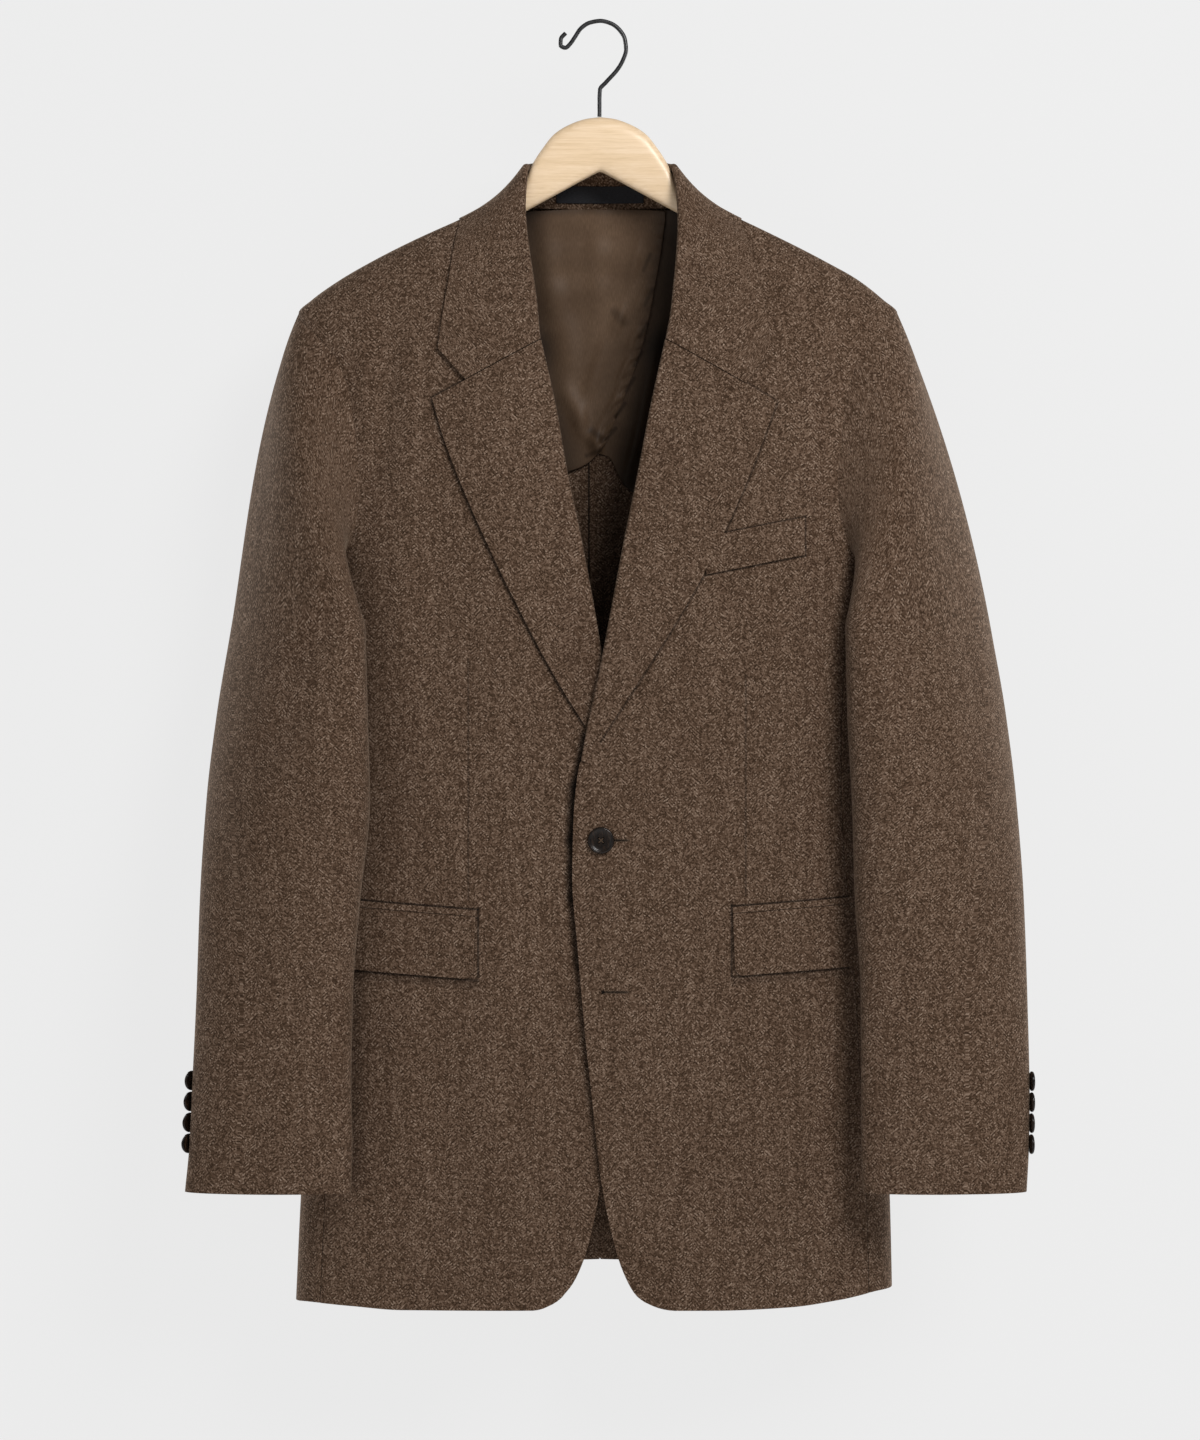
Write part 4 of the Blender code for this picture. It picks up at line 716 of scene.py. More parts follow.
def clear_of_body(points, clearance):
    """Points moved out, along their own height, until they clear the body."""
    points = np.array(points, float)
    up = points[..., 2]
    on_shoulder = ease(up, TIP_UP - 20, TIP_UP + 10)
    width = half_width(np.sign(points[..., 0]), up) + clearance * (1 + on_shoulder)
    depth = np.where(points[..., 1] < 0, section("front", up), section("back", up)) + clearance
    square = section("square", up)
    reach = (np.abs(points[..., 0]) / width) ** square + (np.abs(points[..., 1]) / depth) ** square
    inside = (reach < 1) & (up < NECK_UP)
    grow = np.where(inside, np.maximum(reach, 1e-6) ** (-1 / square), 1)
    ratio = np.minimum(np.abs(points[..., 0]) / width, 0.98)
    level = np.where(points[..., 1] < 0, -1, 1) * depth * (1 - ratio**square) ** (1 / square)
    sideways = ease(ratio, 0.7, 0.95)
    deep = np.where(inside, mix(level, points[..., 1] * grow, sideways), points[..., 1])
    points[..., 0] *= mix(1, grow, sideways)
    points[..., 1] = deep
    return points


# Meshes


def trimmed(outer, inner, edges, gap=SEAM_SHOWN / 2):
    """Both grids drawn in from the named edges, in the surface and square to each edge."""
    rows, columns = outer.shape[:2]
    index = np.arange(rows * columns).reshape(rows, columns)
    lines = {
        "top": (index[0], index[1]),
        "bottom": (index[-1], index[-2]),
        "start": (index[:, 0], index[:, 1]),
        "end": (index[:, -1], index[:, -2]),
    }
    points = outer.reshape(-1, 3)
    across = unit(outer - inner).reshape(-1, 3)
    inward = {}
    for edge in edges:
        line, beside = lines[edge]
        for a, b, c, d in zip(line, line[1:], beside, beside[1:]):
            square = unit(np.cross(across[a] + across[b], points[b] - points[a]))
            square = square * np.sign(square @ (points[c] + points[d] - points[a] - points[b]))
            inward.setdefault(a, []).append(square)
            inward.setdefault(b, []).append(square)
    moves = np.zeros_like(points)
    for k, squares in inward.items():
        first, last = squares[0], squares[-1]
        moves[k] = gap * (first + last) / max(1 + first @ last, 0.4)
    moves = moves.reshape(outer.shape)
    return outer + moves, inner + moves


def coons(top, bottom, start, end):
    """A grid between four edges. top and bottom run from start to end."""
    u = np.linspace(0, 1, len(top))[None, :, None]
    v = np.linspace(0, 1, len(start))[:, None, None]
    ruled = (1 - v) * top[None] + v * bottom[None] + (1 - u) * start[:, None] + u * end[:, None]
    corners = (1 - u) * (1 - v) * top[0] + u * (1 - v) * top[-1]
    corners = corners + (1 - u) * v * bottom[0] + u * v * bottom[-1]
    return ruled - corners


def add_piece(name, points, faces, finish, spots=None):
    """A closed mesh in millimetres, its faces turned outwards, with its flat places as UVs."""
    faces = np.asarray(faces)
    a, b, c, d = (points[faces[:, k]] for k in range(4))
    volume = np.sum(a * np.cross(b, c)) + np.sum(a * np.cross(c, d))
    if volume < 0:
        faces = faces[:, ::-1]
    mesh = bpy.data.meshes.new(name)
    mesh.from_pydata((points * MM).tolist(), [], faces.tolist())
    if spots is not None:
        layer = mesh.uv_layers.new(name="cloth")
        laid = spots + np.array(LAID_APART) * len(bpy.data.meshes)
        layer.data.foreach_set("uv", (laid[faces.reshape(-1)] * MM).reshape(-1))
    mesh.materials.append(finish)
    mesh.shade_smooth()
    made = bpy.data.objects.new(name, mesh)
    bpy.context.scene.collection.objects.link(made)
    return made


def only(piece):
    """Selects one object and makes it the active one."""
    bpy.ops.object.select_all(action="DESELECT")
    piece.select_set(True)
    bpy.context.view_layer.objects.active = piece


def finish_with(piece, kind, **settings):
    """Adds a modifier and applies it."""
    only(piece)
    modifier = piece.modifiers.new(kind.lower(), kind)
    for key, value in settings.items():
        setattr(modifier, key, value)
    bpy.ops.object.modifier_apply(modifier=modifier.name)


def add_wall(name, outer, inner, spots, finish):
    """A closed wall of cloth between two grids of the same shape, with softly rounded edges."""
    rows, columns = outer.shape[:2]
    count = rows * columns
    index = np.arange(count).reshape(rows, columns)
    corners = (index[:-1, :-1], index[:-1, 1:], index[1:, 1:], index[1:, :-1])
    cells = np.stack(corners, -1).reshape(-1, 4)
    rim = np.concatenate([index[0], index[1:, -1], index[-1, -2::-1], index[-2:0:-1, 0]])
    after = np.roll(rim, -1)
    sides = np.stack([after, rim, rim + count, after + count], -1)
    faces = np.concatenate([cells, cells[:, ::-1] + count, sides])
    points = np.concatenate([outer.reshape(-1, 3), inner.reshape(-1, 3)])
    spots = np.concatenate([spots.reshape(-1, 2), spots.reshape(-1, 2)])
    made = add_piece(name, points, faces, finish, spots)
    finish_with(made, "BEVEL", width=SOFT_EDGE * MM, segments=2, limit_method="ANGLE",
                angle_limit=math.radians(50), loop_slide=False)
    return made


def grid_area(grid):
    """Square metres of a grid in millimetres."""
    falling, rising = grid[1:, 1:] - grid[:-1, :-1], grid[1:, :-1] - grid[:-1, 1:]
    return np.linalg.norm(np.cross(falling, rising), axis=-1).sum() / 2 * MM**2


def dress(piece, solid, grid=None, spots=None):
    """Puts a piece on the jacket in its solid's place. It works out the area of its cloth, but
    nothing uses it.
    """
    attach(piece, "root")
    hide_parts(solid)
    if grid is None:
        return
    width, length = (np.ptp(spots.reshape(-1, 2), axis=0) * MM).tolist()
    area = min(grid_area(grid), width * length)


def lengths_round(face, side, up):
    """Lengths along sections of the body, from the centre of one face to the places of ROUND."""
    around = side * ROUND if face < 0 else side * (1 - ROUND)
    points = body(around[None], np.asarray(up, float)[:, None], creased=False)
    steps = np.linalg.norm(np.diff(points, axis=1), axis=-1)
    lengths = np.concatenate([np.zeros((len(up), 1)), np.cumsum(steps, 1)], 1)
    return lengths - lengths[:, ROUND == 0]


def flat(face, side, places):
    """Places around and up, as lengths along their sections and up."""
    share = places[:, 0] * side if face < 0 else 1 - places[:, 0] * side
    lengths = lengths_round(face, side, places[:, 1])
    run = [np.interp(s, ROUND, row) for s, row in zip(share, lengths)]
    return np.stack([run, places[:, 1]], -1)


def from_flat(face, side, spots):
    """Places around and up, from lengths along their sections and up."""
    lengths = lengths_round(face, side, spots[:, 1])
    share = np.array([np.interp(spot[0], row, ROUND) for spot, row in zip(spots, lengths)])
    return np.stack([side * (share if face < 0 else 1 - share), spots[:, 1]], -1)


def patch(face, side, top, bottom, start, end):
    """A grid of places around and up between four edges, evenly spaced over the cloth, and the
    same places on the cloth laid flat."""
    edges = (top, bottom, start, end)
    spots = coons(*(flat(face, side, edge) for edge in edges))
    places = from_flat(face, side, spots.reshape(-1, 2)).reshape(spots.shape)
    places[0], places[-1], places[:, 0], places[:, -1] = edges
    return places, spots


def hem_line(face, side, start, end, count):
    """Places along the hem between two places, evenly spaced."""
    ends = flat(face, side, np.array([start, end]))
    spots = np.linspace(ends[0], ends[1], count)
    places = from_flat(face, side, spots)
    places[:, 1] = hem_up(side, places[:, 0])
    places[0], places[-1] = start, end
    return places


# Seam lines, as places around and up


def hem_up(side, share):
    return smooth(np.abs(share), HEM["share"], HEM[SIDE_NAME[side]])


def armhole_knots():
    places = rows_of(ARMHOLE, "share", "up")
    return knots(places * (HALF_ROUND, 1))


def armhole(stretch):
    """Rows of the armhole table, smoothed, at the points of one stretch: front, under or back."""
    at = armhole_knots()
    ends = {
        "front": (0, at[FRONT_SEAM_ROW], np.array(ARMHOLE_SHARES)),
        "under": (at[FRONT_SEAM_ROW], at[BACK_SEAM_ROW], np.linspace(0, 1, UNDERARM_STEPS + 1)),
        "back": (at[BACK_SEAM_ROW], 1, 1 - np.array(ARMHOLE_SHARES)[::-1]),
    }
    low, high, shares = ends[stretch]
    where = mix(low, high, shares)
    return np.stack([smooth(where, at, column) for column in ARMHOLE.values()], -1)


def armhole_places(side, stretch):
    rows = armhole(stretch)
    return np.stack([rows[:, 0] * side, rows[:, 1]], -1)


def armhole_ring(side):
    """Points of the armhole, where the sleeve heads from each, and the mitre of the two cloths."""
    rows = np.concatenate([armhole("front")[:-1], armhole("under")[:-1], armhole("back")[:-1]])
    surface = panel_surface(side)
    points = surface(rows[:, 0] * side, rows[:, 1])
    body_out = normals(surface, rows[:, 0] * side, rows[:, 1])
    heading = unit(np.stack([rows[:, 2] * side, rows[:, 3], rows[:, 4]], -1))
    tangent = unit(np.roll(points, -1, 0) - np.roll(points, 1, 0))
    sleeve_out = unit(np.cross(tangent, heading)) * side
    return points, heading, unit(body_out + sleeve_out)


def side_seam(side, which):
    """From the armhole to the hem, with its points a little closer together at the top."""
    even = np.linspace(0, 1, LOWER_STEPS + 1)
    eased = 1 - np.cos(even * math.radians(81))
    shares = mix(even, eased / eased[-1], 0.35)
    start = armhole("under")[0 if which == "front" else -1]
    first = start[1]
    low = smooth(np.array([SIDE_SEAMS["up"][0]]), SIDE_SEAMS["up"], SIDE_SEAMS[which])[0]
    last = hem_up(side, low)
    ups = mix(first, last, shares)
    around = smooth(ups, SIDE_SEAMS["up"], SIDE_SEAMS[which])
    around[0] = start[0]
    return np.stack([around * side, ups], -1)


def shoulder_seam(side):
    """From the neck point to the shoulder tip."""
    ups = np.linspace(NECK_UP, TIP_UP, 40)
    line = along(body(np.full(40, 0.5) * side, ups), np.linspace(0, 1, SHOULDER_STEPS + 1))
    return np.stack([np.full(SHOULDER_STEPS + 1, 0.5 * side), line[:, 2]], -1)


def front_edge_places(side):
    """Neck seam, fold of the lapel and free front edge, from the neck point to the hem."""
    neck = along(rows_of(NECK_FRONT, "out", "up"), ARMHOLE_SHARES)
    beside = fold_beside(side)[1:]
    beside[:, 0] += (FOLD_UNDER + 2 * SEAM_GAP) * roll(beside[:, 1], BREAK_ROLL)
    lower = np.concatenate([neck[-1:], beside, rows_of(FRONT_EDGE[side], "out", "up")])
    lower = finer(lower)
    left_over = np.linspace(1, 0, FINER + 1) ** 2
    # The last stretch rounds into the hem
    lower[-FINER - 1 :, 1] = mix(lower[-1, 1], lower[-FINER - 1, 1], left_over)
    sampled = np.concatenate([neck, lower[1:]])
    around = around_at(sampled[:, 0], sampled[:, 1], side, -1)
    around = np.where(sampled[:, 0] < 0, -side * np.abs(around), side * np.abs(around))
    around[0] = 0.5 * side
    return np.stack([around, sampled[:, 1]], -1)


# Panels of the body


def add_panel(solid, side, places, spots, edges, finish, rim, mitre):
    """A body panel from its grid of places around and up, mitred where the sleeve joins it."""
    surface = panel_surface(side)
    around, up = places[..., 0], places[..., 1]
    outer = surface(around, up)
    across = normals(surface, around, up)
    across[rim] = mitre
    outer, inner = trimmed(outer, outer - CLOTH * across, edges)
    piece = add_wall(solid + "_flannel", outer, inner, spots, finish)
    dress(piece, solid, outer, spots)


def build_front(side, solid, finish):
    start = front_edge_places(side)
    armhole_part, seam = armhole_places(side, "front"), side_seam(side, "front")
    end = np.concatenate([armhole_part, seam[1:]])
    bottom = hem_line(-1, side, start[-1], end[-1], SHOULDER_STEPS + 1)
    places, spots = patch(-1, side, shoulder_seam(side), bottom, start, end)
    mitre = armhole_ring(side)[2][: len(armhole_part)]
    add_panel(solid, side, places, spots, ("top", "end"), finish, np.s_[: len(mitre), -1], mitre)


def build_side(side, solid, finish):
    top = armhole_places(side, "under")
    start, end = side_seam(side, "front"), side_seam(side, "back")
    bottom = hem_line(-1, side, start[-1], end[-1], UNDERARM_STEPS + 1)
    places, spots = patch(-1, side, top, bottom, start, end)
    count = len(ARMHOLE_SHARES) - 1
    mitre = armhole_ring(side)[2][count : count + UNDERARM_STEPS + 1]
    add_panel(solid, side, places, spots, ("top", "start", "end"), finish, np.s_[0, :], mitre)


def build_back(side, solid, finish):
    neck = along(rows_of(NECK_BACK, "out", "up"), np.linspace(1, 0, NECK_STEPS + 1))
    around = around_at(neck[:, 0], neck[:, 1], side, 1)
    around[-1], around[0] = 0.5 * side, side
    neckline = np.stack([around, neck[:, 1]], -1)
    top = np.concatenate([neckline[:-1], shoulder_seam(side)])
    armhole_part = armhole_places(side, "back")[::-1]
    end = np.concatenate([armhole_part, side_seam(side, "back")[1:]])
    above = mix(top[0, 1], UNDERARM_LEVEL, ARMHOLE_SHARES)
    below = mix(UNDERARM_LEVEL, HEM["left"][-1], np.linspace(0, 1, LOWER_STEPS + 1)[1:])
    start_up = np.concatenate([above, below])
    start = np.stack([np.full(len(start_up), float(side)), start_up], -1)
    bottom = hem_line(1, side, start[-1], end[-1], len(top))
    places, spots = patch(1, side, top, bottom, start, end)
    ring = armhole_ring(side)[2]
    mitre = np.concatenate([ring[:1], ring[: -len(armhole_part) : -1]])
    edges = ("top", "start", "end")
    add_panel(solid, side, places, spots, edges, finish, np.s_[: len(mitre), -1], mitre)


# Sleeves


def sleeve_section(side, up, heading):
    """A point of the sleeve's outside: heading 180 is its inner edge, 270 its front, 0 its outer
    edge."""
    name = SIDE_NAME[side]
    inner, outer, front, back, lean = (
        smooth(up, SLEEVE["up"], SLEEVE[column])
        for column in ("in_" + name, "out_" + name, "front", "back", "lean")
    )
    turn = np.radians(heading)
    out = (inner + outer) / 2 + (outer - inner) / 2 * np.cos(turn)
    deep = (front + back) / 2 + (back - front) / 2 * np.sin(turn + np.radians(lean))
    lift = np.zeros(np.broadcast(up, heading).shape)
    for fold_side, fold_up, height, fold_heading, width, ridge in zip(*SLEEVE_FOLDS.values()):
        off = ((heading - fold_heading + 180) % 360 - 180) / width
        if fold_side == side:
            lift += ridge * np.exp(-((up - fold_up) / height) ** 2 - off**2)
    deep = deep + lift * np.sin(turn)
    return np.stack(np.broadcast_arrays(out * side, deep, up), -1)


def sleeve_headings(ring_count, front_seam, back_seam, lead):
    """The heading of each armhole point in a section, given where the two sleeve seams lie."""
    top_count = (front_seam - back_seam) % ring_count
    headings = np.zeros(ring_count)
    for k in range(ring_count):
        from_front = (front_seam - k) % ring_count
        if from_front <= top_count:
            headings[k] = 180 + (180 + lead) * from_front / top_count
        else:
            share = (from_front - top_count) / (ring_count - top_count)
            headings[k] = 360 + lead + (180 - lead) * share
    return headings


def sleeve_grid(side):
    """The sleeve's outside from the armhole to the cuff, a row for each height."""
    points, heading, mitre = armhole_ring(side)
    count = len(points)
    front_seam = len(ARMHOLE_SHARES) - 1
    back_seam = count - len(ARMHOLE_SHARES) + 1 + BACK_SEAM_STEPS_UP
    high = sleeve_headings(count, front_seam, back_seam, SEAM_LEAD_TOP)
    low = sleeve_headings(count, front_seam, back_seam, SEAM_LEAD_CUFF[side])
    below = []
    for up in finer(SLEEVE_UPS):
        share = ease(-up, -SLEEVE_TOP, -SEAM_STRAIGHT_UP)
        ring = sleeve_section(side, np.full(count, float(up)), mix(high, low, share))
        below.append(clear_of_body(ring, BODY_CLEARANCE))
    first, heading_down = below[0], below[FINER] - below[0]
    reach = np.linalg.norm(first - points, axis=1, keepdims=True)
    arrive = unit(heading_down) * reach * CAP_PULL
    leave = heading * reach * CAP_PULL
    cap = []
    for v in np.linspace(0, 1, CAP_STEPS + 1)[:-1]:
        blend = (2 * v**3 - 3 * v**2 + 1) * points + (v**3 - 2 * v**2 + v) * leave
        blend = blend + (3 * v**2 - 2 * v**3) * first + (v**3 - v**2) * arrive
        cap.append(clear_of_body(blend, mix(0.4, BODY_CLEARANCE, ease(v, 0, 0.7))) if v else blend)
    return np.array(cap + below), mitre, front_seam, back_seam


def grid_normals(grid, closed):
    """Unit normals of a grid, which may close on itself along its columns."""
    if closed:
        along_columns = np.roll(grid, -1, 1) - np.roll(grid, 1, 1)
    else:
        along_columns = np.gradient(grid, axis=1)
    return unit(np.cross(along_columns, np.gradient(grid, axis=0)))


def outward(grid, centre):
    """Normals of a closed grid that point away from its middle."""
    across = grid_normals(grid, closed=True)
    return across * np.sign(np.sum(across * (grid - centre), -1).mean())


def flat_round(grid):
    """Lengths round and down a closed grid, the round ones from its front."""
    steps = np.linalg.norm(np.roll(grid, -1, 1) - grid, axis=-1)
    across = np.cumsum(steps, 1)
    down = np.linalg.norm(np.diff(grid, axis=0), axis=-1).mean(1)
    down = -np.concatenate([[0], np.cumsum(down)])
    return np.stack([across - across[:, :1], np.broadcast_to(down[:, None], across.shape)], -1)


def build_sleeve(side, name, finish):
    grid, mitre, front_seam, back_seam = sleeve_grid(side)
    centre = grid.mean(1, keepdims=True)
    across = outward(grid, centre)
    x, up = grid[..., 0], grid[..., 2]
    creases = [crease(rows, x, up) for rows in (SLEEVE_FRONT_CREASES, SLEEVE_BACK_CREASES)]
    pressed = np.where(across[..., 1] < 0, *creases) + unevenness(x, up)
    loose = ease(np.arange(len(grid)), 2, CAP_STEPS * 0.6)[:, None]  # none at the armhole itself
    grid = grid + across * (pressed * loose * np.abs(across[..., 1]))[..., None]
    across = outward(grid, centre)
    across[0] = mitre
    for row in range(1, MITRE_ROWS):
        across[row] = unit(mix(mitre, across[row], ease(row, 0, MITRE_ROWS)))
    spots = flat_round(grid)
    count = grid.shape[1]
    top_count = (front_seam - back_seam) % count
    top = [(front_seam - k) % count for k in range(top_count + 1)]
    under = [(back_seam - k) % count for k in range(count - top_count + 1)]
    for solid, columns in (("top_sleeve_" + name, top), ("under_sleeve_" + name, under)):
        outer = grid[:, columns]
        cut = spots[:, columns].copy()
        turn = np.ptp(spots[..., 0], axis=1)
        wrapped = np.cumsum(np.diff(columns, prepend=columns[0]) > 0)
        cut[..., 0] -= wrapped * turn[:, None]
        outer, inner = trimmed(outer, outer - CLOTH * across[:, columns], ("start", "end"))
        outer, inner = trimmed(outer, inner, ("top",), -ARMHOLE_LAP)
        piece = add_wall(solid + "_flannel", outer, inner, cut, finish)
        dress(piece, solid, outer, cut)


# Collar and lapels


def roll(up, least):
    """How round the fold of the lapel still is at a height: it flattens towards the break."""
    return mix(least, 1, ease(up, BREAK_UP, BREAK_UP + FLATTENS_OVER))


def fold_section(width, lift_end, steps, radius):
    """Middle of the cloth across a folded edge: distance from the fold, height over the panel."""
    wall = FACING / 2
    turn = np.radians(np.linspace(-90, -270, TURN_POINTS))
    centre, height = radius + wall, radius - CLOTH / 2
    from_fold = np.concatenate([[FOLD_UNDER], centre + radius * np.cos(turn)])
    over = np.concatenate([[-CLOTH / 2], height + radius * np.sin(turn)])
    shares = np.linspace(0, 1, steps + 1)[1:]
    from_fold = np.concatenate([from_fold, mix(centre, width, shares)])
    over = np.concatenate([over, mix(over[-1], lift_end, shares)])
    return from_fold, over


def flat_across(grid):
    """Lengths along the rows and columns of an open grid, as its cloth lies flat."""
    across = np.cumsum(np.linalg.norm(np.diff(grid, axis=1, prepend=grid[:, :1]), axis=-1), 1)
    down = np.linalg.norm(np.diff(grid, axis=0, prepend=grid[:1]), axis=-1).mean(1)
    return np.stack([across, np.broadcast_to(-np.cumsum(down)[:, None], across.shape)], -1)


def add_folded(solid, middle, spots, finish, edges=()):
    """A wall of even thickness about a grid of middle points."""
    across = grid_normals(middle, closed=False) * FACING / 2
    outer, inner = trimmed(middle + across, middle - across, edges, SEAM_GAP / 2)
    piece = add_wall(solid + "_flannel", outer, inner, spots, finish)
    dress(piece, solid, middle, spots)


def fold_beside(side):
    """Points down the fold of the lapel, at the heights that divide the front."""
    fold = FOLD_LINE[side]
    order = np.argsort(fold["up"])
    ups = np.array((-241, *FOLD_UPS))
    return np.stack([smooth(ups, fold["up"][order], fold["out"][order]), ups], -1)


def build_lapel(side, solid, finish):
    fold = finer(fold_beside(side), 2 * FINER)
    edge = along(rows_of(LAPEL_EDGE[side], "out", "up"), knots(fold))
    rows = []
    for start, end in zip(fold, edge):
        width = np.linalg.norm(end - start)
        lift = mix(FACING / 2 + 0.1, LAPEL_LIFT, roll(start[1], 0))
        radius = FOLD_RADIUS * roll(start[1], 0.5)
        from_fold, over = fold_section(width, lift, LAPEL_STEPS, radius)
        view = start + np.outer(from_fold / width, end - start)
        level = front_point(side, view[:, 0], view[:, 1])
        level[:, 1] -= over
        rows.append(level)
    middle = np.array(rows)
    turn = math.radians(LAPEL_GRAIN) * side
    x, up = middle[..., 0], middle[..., 2]
    level, steep = math.cos(turn), math.sin(turn)
    spots = np.stack([x * level + up * steep, up * level - x * steep], -1)
    add_folded(solid, middle, spots, finish, ("top",))


def collar_stations():
    """Shares of the collar and the points of the neck seam, from centre back to the gorge."""
    back = along(rows_of(NECK_BACK, "out", "up")[::-1], np.linspace(0, 1, NECK_STEPS + 1))
    front = along(rows_of(NECK_FRONT, "out", "up"), ARMHOLE_SHARES)
    shares = np.linspace(0, NECK_POINT, NECK_STEPS + 1)
    stations = [(share, out, up, 1) for share, (out, up) in zip(shares, back)]
    for k in COLLAR_FRONT_STATIONS:
        stations.append((mix(NECK_POINT, 1, ARMHOLE_SHARES[k]), *front[k], -1))
    return stations


def collar_half(side):
    """Sections of the collar from centre back to one gorge, as rows of middle points."""
    name = SIDE_NAME[side]
    fold_line = FOLD_LINE[side]
    order = np.argsort(fold_line["up"])
    sections = []
    for share, out, up, face in collar_stations():
        read = {key: float(smooth(share, COLLAR["share"], COLLAR[key])) for key in COLLAR}
        fold = np.array([read["fold_out"] * side, read["fold_deep"], read["fold_up"]])
        if share > NECK_POINT:
            seen = smooth(fold[2], fold_line["up"][order], fold_line["out"][order])
            seen = (seen + FOLD_RADIUS + FACING / 2) * side
            fold[0] = mix(fold[0], seen, ease(share, NECK_POINT, 0.5))
        edge = np.array([read["edge_" + name] * side, read["edge_deep"], read["edge_up"]])
        seam_around = 0.5 * side if share == NECK_POINT else around_at(out, up, side, face)
        seam = moved_out(panel_surface(side), seam_around, up, -CLOTH / 2)
        turn = math.radians(read["turn"])
        sideways = math.cos(turn) * np.array(SHOULDER_TILT)
        facing_out = np.array([sideways[0] * side, math.sin(turn), sideways[1]])
        if share > 0.6:
            level = front_point(side, abs(fold[0]), fold[2])[1] + CLOTH / 2 - FOLD_RADIUS
            fold[1] = mix(fold[1], level, ease(share, 0.6, 0.8))
        line = seam, fold, edge, unit(facing_out)
        sections.append(collar_section(side, share, read["swell"], *line))
    return sections


def collar_section(side, share, swell, seam, fold, edge, facing_out):
    """One section of the collar: its stand, the turn of its fold, and its fall to the free edge."""
    to_edge = unit(edge - fold)
    to_edge = unit(to_edge - facing_out * (to_edge @ facing_out))
    turn = np.radians(np.linspace(-90, -270, TURN_POINTS))
    curve = [fold + FOLD_RADIUS * (math.cos(a) * to_edge + math.sin(a) * facing_out) for a in turn]
    gap = mix(STAND_GAP_BACK, STAND_GAP_FRONT, ease(share, 0.6, 0.95))
    start = seam + unit(curve[0] - seam) * gap
    stand = [mix(start, curve[0], s) for s in np.linspace(0, 1, STAND_POINTS + 1)[:-1]]
    fall = []
    shares = np.array((*np.linspace(0.04, CORNER_AT, 17), *np.linspace(CORNER_AT, 1, 8)[1:]))
    bend = np.array([NOTCH[side][0] * side, 0, NOTCH[side][1]]) - mix(fold, edge, CORNER_AT)
    for s in shares:
        point = mix(curve[-1], edge, s) + facing_out * swell * math.sin(math.pi * s)
        corner = np.interp(s, (0, CORNER_AT, 1), (0, 1, 0)) * ease(share, 0.84, 1.0)
        point[0] += bend[0] * corner
        point[2] += bend[2] * corner
        fall.append(point)
    near_shoulder = CLOSE_BY * math.exp(-(((share - CLOSE_AT) / CLOSE_OVER) ** 2))
    pressed = 1 - ease(shares, 0.45, 1) * max(near_shoulder, CLOSE_BEHIND * (share < 0.5))
    fall = clear_of_body(fall, mix(COLLAR_LIFT, LAPEL_LIFT, ease(share, 0.45, 0.7)) * pressed)
    if share > 0.8:
        level = front_point(side, np.abs(fall[:, 0]), fall[:, 2])[:, 1] - LAPEL_LIFT
        fall[:, 1] = mix(fall[:, 1], level, ease(share, 0.8, 0.95))
    return [*stand, *curve, *fall]


def meet_lapel(side, half):
    """Draws the end of the collar onto the lapel's upper edge, so that the gorge is a thin seam."""
    start, end = fold_beside(side)[0], rows_of(LAPEL_EDGE[side], "out", "up")[0]
    last = half[-1]
    out = np.abs(last[:, 0])
    gorge = np.interp(out, (start[0], end[0]), (start[1], end[1])) + GORGE_GAP
    reach = ease(out, NOTCH[side][0] + 3, NOTCH[side][0] - 1)
    reach[: STAND_POINTS + 2] = np.linspace(0, 1, STAND_POINTS + 2)
    fall = (gorge - last[:, 2]) * reach
    rows = np.arange(len(half) - GORGE_ROWS, len(half))
    half[rows, :, 2] += fall * ease(rows, rows[0], rows[-1])[:, None]
    return half


def build_collar(finish):
    right, left = (meet_lapel(side, np.array(collar_half(side))) for side in (RIGHT, LEFT))
    middle = np.concatenate([right[::-1], left[1:]])
    run = np.cumsum(np.linalg.norm(np.diff(middle, axis=0, prepend=middle[:1]), axis=-1), 0)
    run = run - run[len(right) - 1]
    spots = np.stack([run, -flat_across(middle)[..., 0]], -1)
    add_folded("collar", middle, spots, finish, ("top", "bottom"))
    return middle


def build_label(collar, finish):
    """On the inside of the collar's stand, at centre back."""
    stand = collar[len(collar) // 2]
    foot, top = stand[0], stand[STAND_POINTS]
    xs = np.linspace(-LABEL_WIDTH / 2, LABEL_WIDTH / 2, 33)
    rows = []
    for up in np.linspace(LABEL_BOTTOM, LABEL_BOTTOM + LABEL_HEIGHT, 9):
        share = (up - foot[2]) / (top[2] - foot[2])
        line = np.array([mix(row[0], row[STAND_POINTS], share) for row in collar])
        line = line[np.argsort(line[:, 0])]
        line = line[(np.abs(line[:, 0]) < LABEL_REACH) & (line[:, 1] > 0)]
        deep = np.interp(xs, line[:, 0], line[:, 1]) - FACING / 2 - 2 * SEAM_GAP
        rows.append(np.stack([xs, deep, np.full(len(xs), up)], -1))
    back = np.array(rows)
    spots = back[..., [0, 2]]
    piece = add_wall("neck_label_woven", back - (0, LABEL_WALL, 0), back, spots, finish)
    dress(piece, "neck_label", back, spots)


# Pockets


def add_laid(solid, side, places, finish, lift=LAID_GAP, wall=FACING):
    """A piece that lies on a panel, from its grid of places around and up."""
    surface = panel_surface(side)
    around, up = places[..., 0], places[..., 1]
    across = normals(surface, around, up)
    inner = surface(around, up) + lift * across
    spots = flat(-1, side, places.reshape(-1, 2)).reshape(places.shape)
    piece = add_wall(solid + "_flannel", inner + wall * across, inner, spots, finish)
    dress(piece, solid, inner, spots)


